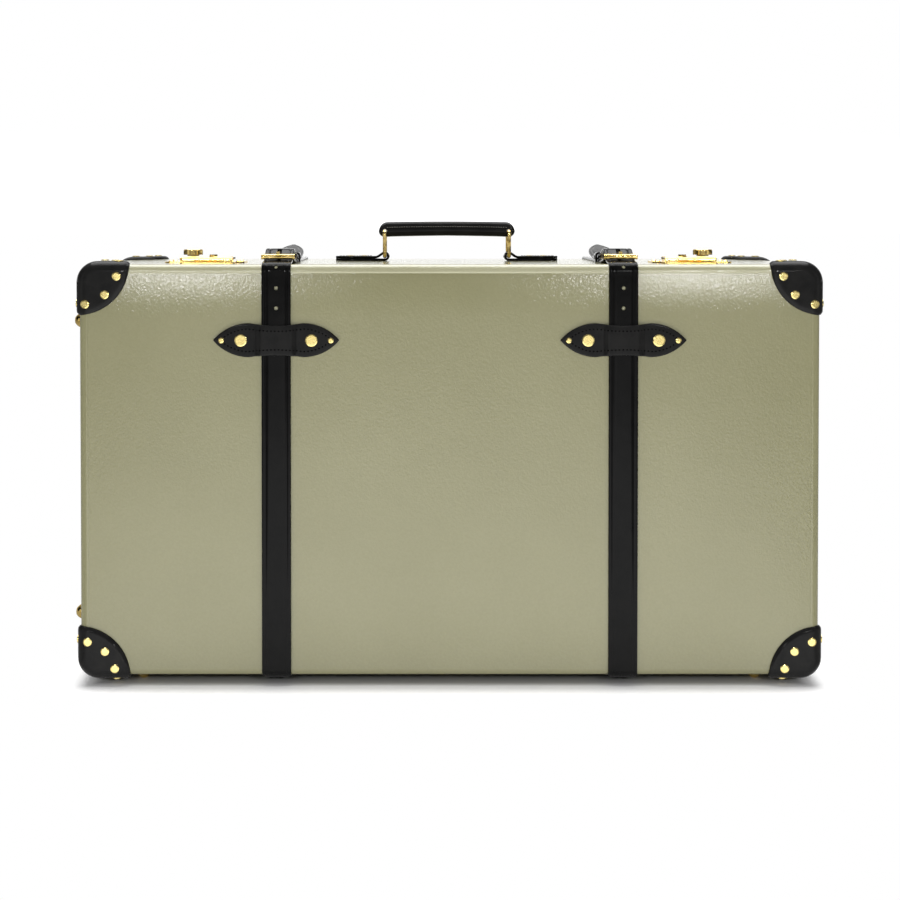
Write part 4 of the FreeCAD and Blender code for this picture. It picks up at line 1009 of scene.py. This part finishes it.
for word, side in SIDES:
    x, body = side * STRAP_X, f"strap_end_{word}"
    slot_left, slot_right = x - PRONG_SLOT, x + PRONG_SLOT
    fold = strip(
        f"strap_top_{word}_leather", fold_path, STRAP_WIDTH, FOLD_THICK, in_depth(x), body,
        [f"strap_top_{word}"], side=-1, crease=None,
    )
    cut_slot(fold, (slot_left, HEEL_Y - 14, TOP_SEAT + 3), (slot_right, HEEL_Y + 6.8, SLOT_TOP))
    tail = strip(
        f"strap_tail_{word}_leather", tail_path, STRAP_WIDTH, STRAP_THICK, in_depth(x), body,
        [f"strap_tail_{word}"], tip=(TAIL_TIP, 1),
    )
    cut_slot(tail, (slot_left, FRONT + 25, TOP_SEAT), (slot_right, HEEL_Y - 3.8, SLOT_TOP))
    for y in TAIL_HOLES:
        cut_holes(tail, [((x, y, TOP_SEAT - 1), (x, y, TOP_SEAT + 24), HOLE_RADIUS)])
    low, high = (Vector(corner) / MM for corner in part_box(f"strap_loop_{word}"))
    loop_path = rounded_path([
        (low.x, low.z), (low.x, high.z, LOOP_BEND), (high.x, high.z, LOOP_BEND), (high.x, low.z),
    ])
    strip(
        f"strap_loop_{word}_leather", loop_path, high.y - low.y, LOOP_THICK,
        in_width((low.y + high.y) / 2), body, [f"strap_loop_{word}"], side=-1, crease=LOOP_CREASE,
    )
print("strap ends:", len(tail.data.vertices), "points in a tail")

# %% [markdown]
# ## Handle
# Each chape is one strip folded round its ring, with both layers sewn and riveted
# together. The grip is leather sewn round a core: thick in the middle, with a round
# nose at each end that the ring passes through, and a sewn seam along each side. A box
# smoothed by subdivision would be quicker, but formulas for its outline give the nose,
# the shoulders and the seams their real sizes.

# %% Chapes
RING_X, HANDLE_Y = 77, FRONT + 161
RING_Z = TOP_SEAT + 5.7
CHAPE_LONG, CHAPE_WIDE, CHAPE_THICK, CHAPE_EYE = 61, 22, 2.97, 5.7
CHAPE_TIP, CHAPE_BEND = RING_X + CHAPE_LONG, CHAPE_EYE - 0.01
CHAPE_LAYER, CHAPE_POINT = TOP_SEAT + 6, 24
CHAPE_SEAM, CHAPE_SEAM_TIP, CHAPE_PITCH = 2.6, 22, 3.4
CHAPE_CORNERS = [
    (-CHAPE_TIP, TOP_SEAT),
    (-RING_X + CHAPE_EYE, TOP_SEAT, CHAPE_BEND),
    (-RING_X + CHAPE_EYE, TOP_SEAT + 2 * CHAPE_EYE, CHAPE_BEND),
    (-RING_X - 2.5, TOP_SEAT + 2 * CHAPE_EYE, 5),
    (-RING_X - 10, CHAPE_LAYER, 8),
    (-CHAPE_TIP, CHAPE_LAYER),
]
chape_path = rounded_path(CHAPE_CORNERS, step=2)

for word, side in SIDES:
    strip(
        f"chape_{word}_leather", chape_path, CHAPE_WIDE, CHAPE_THICK, in_width(HANDLE_Y, -side),
        "base", [f"chape_{word}"], tip=(CHAPE_POINT, 0), crease=None,
    )
    line, ups = [], []
    for half in (1, -1):
        for run in np.linspace(RING_X + 16, CHAPE_TIP - 5, 50)[::half]:
            left = min(1.0, (CHAPE_TIP - 3 - run) / CHAPE_SEAM_TIP)
            wide = (CHAPE_WIDE / 2 - CHAPE_SEAM) * (1 - (1 - left) ** 2) ** 0.6
            line.append((side * run, HANDLE_Y + half * wide, CHAPE_LAYER + 0.2))
            ups.append((0, 0, 1))
    stitch_row(f"chape_{word}_stitches", line, ups, CHAPE_PITCH, "base", "pale thread", radius=0.6)
print("chapes at", RING_X, "mm from the middle")

# %% Section of the grip
GRIP_Z = RING_Z + 31
GRIP_NOSE, GRIP_TOP, GRIP_UNDER, GRIP_WIDE, GRIP_SHOULDER = 7.4, 12.4, 5.6, 22, 10.4
GRIP_SEAM, SEAM_HALF, SEAM_DEEP = 0.64, 1.3, 0.55
GRIP_SQUARE, GRIP_SAG = 0.62, 0.8
NOSE_WIDE, NOSE_TAPER = 0.96, 0.10


def grip_outline(x):
    """(lowest, highest, half width) of the grip at a distance from its middle."""
    x = abs(x)
    past = max(0.0, x - RING_X - GRIP_NOSE + GRIP_SHOULDER) / GRIP_SHOULDER
    high = (GRIP_TOP - GRIP_SAG * (x / RING_X) ** 2) * math.sqrt(max(0.0, 1 - past ** 2))
    if x > RING_X:
        share = (x - RING_X) / GRIP_NOSE
        low = -GRIP_NOSE * math.sqrt(max(0.0, 1 - share ** 2))
        return low, high, (GRIP_WIDE / 2) * (NOSE_WIDE - NOSE_TAPER * share ** 3)
    share = min(1.0, (RING_X - x) / RING_X)
    low = -GRIP_NOSE + (GRIP_NOSE - GRIP_UNDER) * math.sqrt(share)
    return low, high, (GRIP_WIDE / 2) * (NOSE_WIDE + (1 - NOSE_WIDE) * share)


def grip_seam(low, high):
    """The height of the sewn seam on the sides of the grip."""
    return low + (high - low) * GRIP_SEAM


def squarer(share):
    """Pushes a sine or cosine outwards, so that a round section becomes squarer."""
    return math.copysign(abs(share) ** GRIP_SQUARE, share)


def grip_section(x, count=88):
    """Points round the grip, pressed in a little along its seams."""
    low, high, wide = grip_outline(x)
    middle, tall = (low + high) / 2, (high - low) / 2
    ring = []
    for number in range(count):
        angle = 2 * math.pi * number / count
        across = squarer(math.cos(angle)) * wide
        up = middle + squarer(math.sin(angle)) * tall
        near_seam = max(0.0, 1 - ((up - grip_seam(low, high)) / SEAM_HALF) ** 2)
        if abs(across) > wide * 0.6 and tall > 4:
            across -= math.copysign(SEAM_DEEP * near_seam, across)
        ring.append((x, HANDLE_Y + across, GRIP_Z + up))
    return ring


print("the grip's lowest, highest and half width in mm:", grip_outline(0))

# %% Grip
RING_HOLE, GRIP_PITCH = 2.7, 3.0
stations = list(np.linspace(-RING_X, RING_X, 100))
nose_turns = np.linspace(0, math.pi / 2 - 0.05, 9)[1:]
nose = [RING_X + GRIP_NOSE * math.sin(turn) for turn in nose_turns]
stations = [-x for x in reversed(nose)] + stations + nose
points, faces = loft([grip_section(x) for x in stations])
grip = make_piece(
    "handle_grip_leather", points, faces, "painted-lighter grip leather", "grip", ["handle_grip"], sharp=70,
)
for _, side in SIDES:
    x = side * RING_X
    cut_holes(grip, [((x, HANDLE_Y - 20, GRIP_Z), (x, HANDLE_Y + 20, GRIP_Z), RING_HOLE)])
for word, side in (("front", -1), ("back", 1)):
    line, ups = [], []
    for x in np.linspace(-RING_X + 2, RING_X - 2, 120):
        low, high, wide = grip_outline(x)
        line.append((x, HANDLE_Y + side * (wide - 0.25), GRIP_Z + grip_seam(low, high)))
        ups.append((0, side, 0))
    stitch_row(
        f"grip_{word}_stitches", line, ups, GRIP_PITCH, "grip", "pale thread",
        length=0.55, radius=0.45,
    )
print("grip:", len(grip.data.vertices), "points")

# %% [markdown]
# ## Lining
# Cotton is glued into both trays and turned under at the mouth. Simulated cloth would
# hang, and glued cloth can't. So each lining is one sheet that code shapes directly:
# rings go round the tray from the hem down the walls, then in over its floor.

# %% Outline of a tray
def rounded_outline(half_x, half_z, radius, count=12):
    """Points round a rectangle with rounded corners, in X and Z."""
    spots = []
    for corner_x, corner_z, start in ((1, 1, 0), (-1, 1, 90), (-1, -1, 180), (1, -1, 270)):
        for number in range(count + 1):
            angle = math.radians(start + 90 * number / count)
            spots.append((
                corner_x * (half_x - radius) + radius * math.cos(angle),
                corner_z * (half_z - radius) + radius * math.sin(angle),
            ))
    spots = np.array(spots)
    sides = []
    for spot, after in zip(spots, np.roll(spots, -1, axis=0)):
        pieces = max(1, int(math.dist(spot, after) / 24))
        sides += [spot + (after - spot) * number / pieces for number in range(pieces)]
    return sides


print("points round a tray:", len(rounded_outline(HALF_WIDTH, (TOP - LOW) / 2, CORNER_RADIUS)))

# %% Linings
LINING_GAP = 0.2
LINING_CORNER = 16.7
HEM = [(0.0, 0.9), (0.3, 0.1), (1.2, 0.0), (2.4, 0.5), (3.2, 0.9)]
WALL_INSET = 0.9
FLOOR_BEND = [(3.4, 1.2), (1.8, 2.4), (1.1, 4.2)]
FLOOR_SHARES = (0.97, 0.9, 0.75, 0.55, 0.35, 0.15)


def lining(node, mouth_face, body):
    """The lining of one tray, whose mouth is its front (-1) or its back (1); gives its area."""
    low, high = (Vector(corner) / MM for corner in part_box(node))
    half_x, half_z = (high.x - low.x) / 2 - LINING_GAP, (high.z - low.z) / 2 - LINING_GAP
    mouth, floor = (low.y, high.y) if mouth_face < 0 else (high.y, low.y)
    inward = 1 if floor > mouth else -1
    depth = abs(floor - mouth)
    levels = list(HEM)
    wall_rows = max(3, int((depth - 14) / 12))
    levels += [(run, WALL_INSET) for run in np.linspace(8, depth - 6, wall_rows)]
    levels += [(depth - rise, inset) for rise, inset in FLOOR_BEND]
    rings = []
    for run, inset in levels:
        outline = rounded_outline(half_x - inset, half_z - inset, max(6.0, LINING_CORNER - inset))
        rings.append([(x, mouth + inward * run, MID + z) for x, z in outline])
    inset = FLOOR_BEND[-1][1]
    outline = rounded_outline(half_x - inset, half_z - inset, LINING_CORNER - inset)
    for share in FLOOR_SHARES:
        puff = 0.18 * math.sin(share * 9)
        y = mouth + inward * (depth - 1.4 + puff)
        rings.append([(x * share, y, MID + z * share) for x, z in outline])
    points, faces = loft(rings, close_first=False)
    piece = make_piece(
        f"{node}_cotton", points, faces, "lining", body, [node], sharp=80,
    )
    area = sum(polygon.area for polygon in piece.data.polygons)
    return area


print("base lining", round(lining("base_lining", -1, "base"), 3), "m2")
print("lid lining", round(lining("lid_lining", 1, "lid"), 3), "m2")

# %% [markdown]
# ## Floor, light and camera
# The case stands on a white floor in a white room. A plain white plane would hide the
# lid, whose hinges are under the case, when it opens past the level of the floor. So
# this floor fades into the room a hand's width from the case. Beside the two ends it is
# darker in reflections, or the lacquer would mirror it and turn the ends white. Under
# and right round the case it is painted darker and glows less to the camera: a painted
# contact shadow on top of the real one.

# %% Floor
scene = bpy.context.scene
scene.view_settings.view_transform = "Standard"
mesh = bpy.data.meshes.new("white floor")
mesh.from_pydata([(-9, -9, 0), (9, -9, 0), (9, 9, 0), (-9, 9, 0)], [], [(0, 1, 2, 3)])
floor = bpy.data.objects.new("white_floor", mesh)
scene.collection.objects.link(floor)
material, tree, shader = new_finish("white floor", Roughness=0.9, Specular_IOR_Level=0.1)
shader.inputs["Emission Color"].default_value = (1, 1, 1, 1)
mesh.materials.append(material)
print("floor", tuple(floor.dimensions))

# %% How far a spot of the floor is from the case
FOOT_X, FOOT_Y = 0.40, 0.115
place = add_node(tree, "SeparateXYZ", [(add_node(tree, "TexCoord").outputs["Object"], "Vector")])
sideways = combine(tree, "ABSOLUTE", place.outputs["X"])
depthways = combine(tree, "ABSOLUTE", place.outputs["Y"])
past_end = combine(tree, "SUBTRACT", sideways, FOOT_X)
past_face = combine(tree, "SUBTRACT", depthways, FOOT_Y)
gap = combine(tree, "MAXIMUM", past_end, past_face)
splay = combine(tree, "MULTIPLY", depthways, 0.3)
by_the_ends = spread(tree, combine(tree, "SUBTRACT", sideways, splay), 0.37, 0.43, 0.0, 0.8)
print("the foot of the case reaches", FOOT_X, "and", FOOT_Y, "m from its middle")

# %% Paint, painted shadow and glow of the floor
path_kind = add_node(tree, "LightPath").outputs
dulled = combine(tree, "MULTIPLY", path_kind["Is Glossy Ray"], by_the_ends)
kept = spread(tree, dulled, 0.0, 1.0, 1.0, 0.0)
# Painted shadow: the floor is painted 0.3 under the case and 0.9 away from it.
floor_paint_with_painted_shadow = combine(tree, "MULTIPLY", spread(tree, gap, -0.02, 0.01, 0.3, 0.9), kept)
tree.links.new(floor_paint_with_painted_shadow, shader.inputs["Base Color"])
aside = combine(tree, "MULTIPLY", spread(tree, sideways, 0.3, 1.0, 1.0, 0.6), kept)
glow = combine(tree, "MULTIPLY", spread(tree, gap, 0.0, 0.06, 0.0, 1.15), aside)
# To the camera the floor glows white away from the case and not under it: partly a painted contact
# shadow, on top of the lamps' real shadow.
near_white = spread(tree, gap, 0.0, 0.01, 0.0, 0.1)
far_white = combine(tree, "MAXIMUM", near_white, spread(tree, gap, 0.015, 0.05, 0.0, 0.7))
light = add_node(tree, "Mix", [(path_kind["Is Camera Ray"], "Factor"), (glow, "A"), (far_white, "B")])
tree.links.new(light.outputs["Result"], shader.inputs["Emission Strength"])
print("floor glow made of", len(tree.nodes), "nodes")

# %% Fade the floor out
below = add_node(tree, "NewGeometry").outputs["Backfacing"]
far = spread(tree, gap, 0.035, 0.055, 0.0, 1.0)
unseen = combine(tree, "MAXIMUM", far, below)
through_air = combine(tree, "MULTIPLY", path_kind["Is Camera Ray"], unseen)
lit_below = combine(tree, "MULTIPLY", path_kind["Is Shadow Ray"], far)
clear = combine(tree, "MAXIMUM", through_air, lit_below)
air = add_node(tree, "BsdfTransparent")
fade = add_node(tree, "MixShader", [(clear, 0), (shader.outputs["BSDF"], 1), (air.outputs["BSDF"], 2)])
ground = next(node for node in tree.nodes if node.bl_idname == "ShaderNodeOutputMaterial")
tree.links.new(fade.outputs["Shader"], ground.inputs["Surface"])
print("floor material has", len(tree.nodes), "nodes")

# %% [markdown]
# The room is plain white to the camera. As light it is brighter behind the case and
# near the horizon and darker in front and at the sides, which gives the brass and the
# lacquer something to mirror. A picture of a studio could do that too, but a few ramps
# say plainly where the light comes from.

# %% Room
world = bpy.data.worlds.new("white room")
scene.world = world
world.use_nodes = True
tree = world.node_tree
tree.nodes.clear()
way = add_node(tree, "SeparateXYZ", [(add_node(tree, "TexCoord").outputs["Generated"], "Vector")])
low_wall = spread(tree, way.outputs["Z"], 0.12, 0.45, 1.0, 0.5)
behind = combine(tree, "MULTIPLY", spread(tree, way.outputs["Y"], -0.7, 0.7, 0.12, 0.95), low_wall)
above = spread(tree, way.outputs["Z"], 0.1, 1.0, 0.0, 0.35)
horizon = spread(tree, way.outputs["Z"], 0.0, 0.07, 0.75, 0.0)
beside = spread(tree, combine(tree, "ABSOLUTE", way.outputs["X"]), 0.25, 0.9, 0.0, -0.5)
glow = combine(tree, "ADD", combine(tree, "ADD", behind, above), combine(tree, "ADD", beside, horizon))
over_ground = spread(tree, way.outputs["Z"], -0.02, 0.0, 0.0, 1.0)
seen = add_node(tree, "LightPath").outputs["Is Camera Ray"]
white = combine(tree, "MAXIMUM", seen, combine(tree, "MULTIPLY", glow, over_ground))
room = add_node(tree, "Background", [(white, "Strength")], Color=(1, 1, 1, 1))
add_node(tree, "OutputWorld", [(room.outputs["Background"], "Surface")])
print("room of", len(tree.nodes), "nodes")

# %% [markdown]
# A wide box above and a narrow strip light the top. Two small lamps in front give the
# bright patches high on the face, and two weak walls fill in the sides. Lamps with an
# area are chosen because points or a sun would make hard shadows.

# %% Soft boxes
SOFT_BOXES = [
    ("top box", (0, 0.42, 2.0), (0, 0.42, 0.2), (2.6, 1.1), 54),
    ("top strip", (0, -0.35, 2.0), (0, -0.13, 0.45), (2.4, 0.12), 10),
    ("left wall", (-2.3, -1.5, 0.75), (0, -0.1, 0.2), (1.2, 1.4), 3),
    ("right wall", (2.3, -1.5, 0.75), (0, -0.1, 0.2), (1.2, 1.4), 3),
    ("left glint", (-0.60, -1.9, 0.78), (-0.3, -0.13, 0.45), (0.18, 0.08), 5.4),
    ("right glint", (0.65, -1.9, 0.78), (0.3, -0.13, 0.45), (0.30, 0.08), 6.4),
]
for name, place, target, size, power in SOFT_BOXES:
    light = bpy.data.lights.new(name, "AREA")
    light.shape = "RECTANGLE"
    light.size, light.size_y = size
    light.energy = power
    lamp = bpy.data.objects.new(name, light)
    lamp.location = place
    lamp.rotation_euler = (Vector(target) - Vector(place)).to_track_quat("-Z", "Y").to_euler()
    scene.collection.objects.link(lamp)
print("soft boxes:", [name for name, *_ in SOFT_BOXES])

# %% [markdown]
# The camera is almost level with the top, so the top shows as a thin bright band. It
# looks down by one degree, and the lens is shifted to bring the case into the frame.

# %% Camera
lens = bpy.data.cameras.new("camera")
camera = bpy.data.objects.new("camera", lens)
camera.location = (-0.0387, -1.681, 0.527)
camera.rotation_euler = (math.radians(90 - 1.0), 0, 0)
lens.lens = 54.93
lens.sensor_width = 36
lens.shift_x = 0.0382
lens.shift_y = -0.2259
scene.collection.objects.link(camera)
scene.camera = camera
print("camera", tuple(camera.location), "lens", lens.lens)
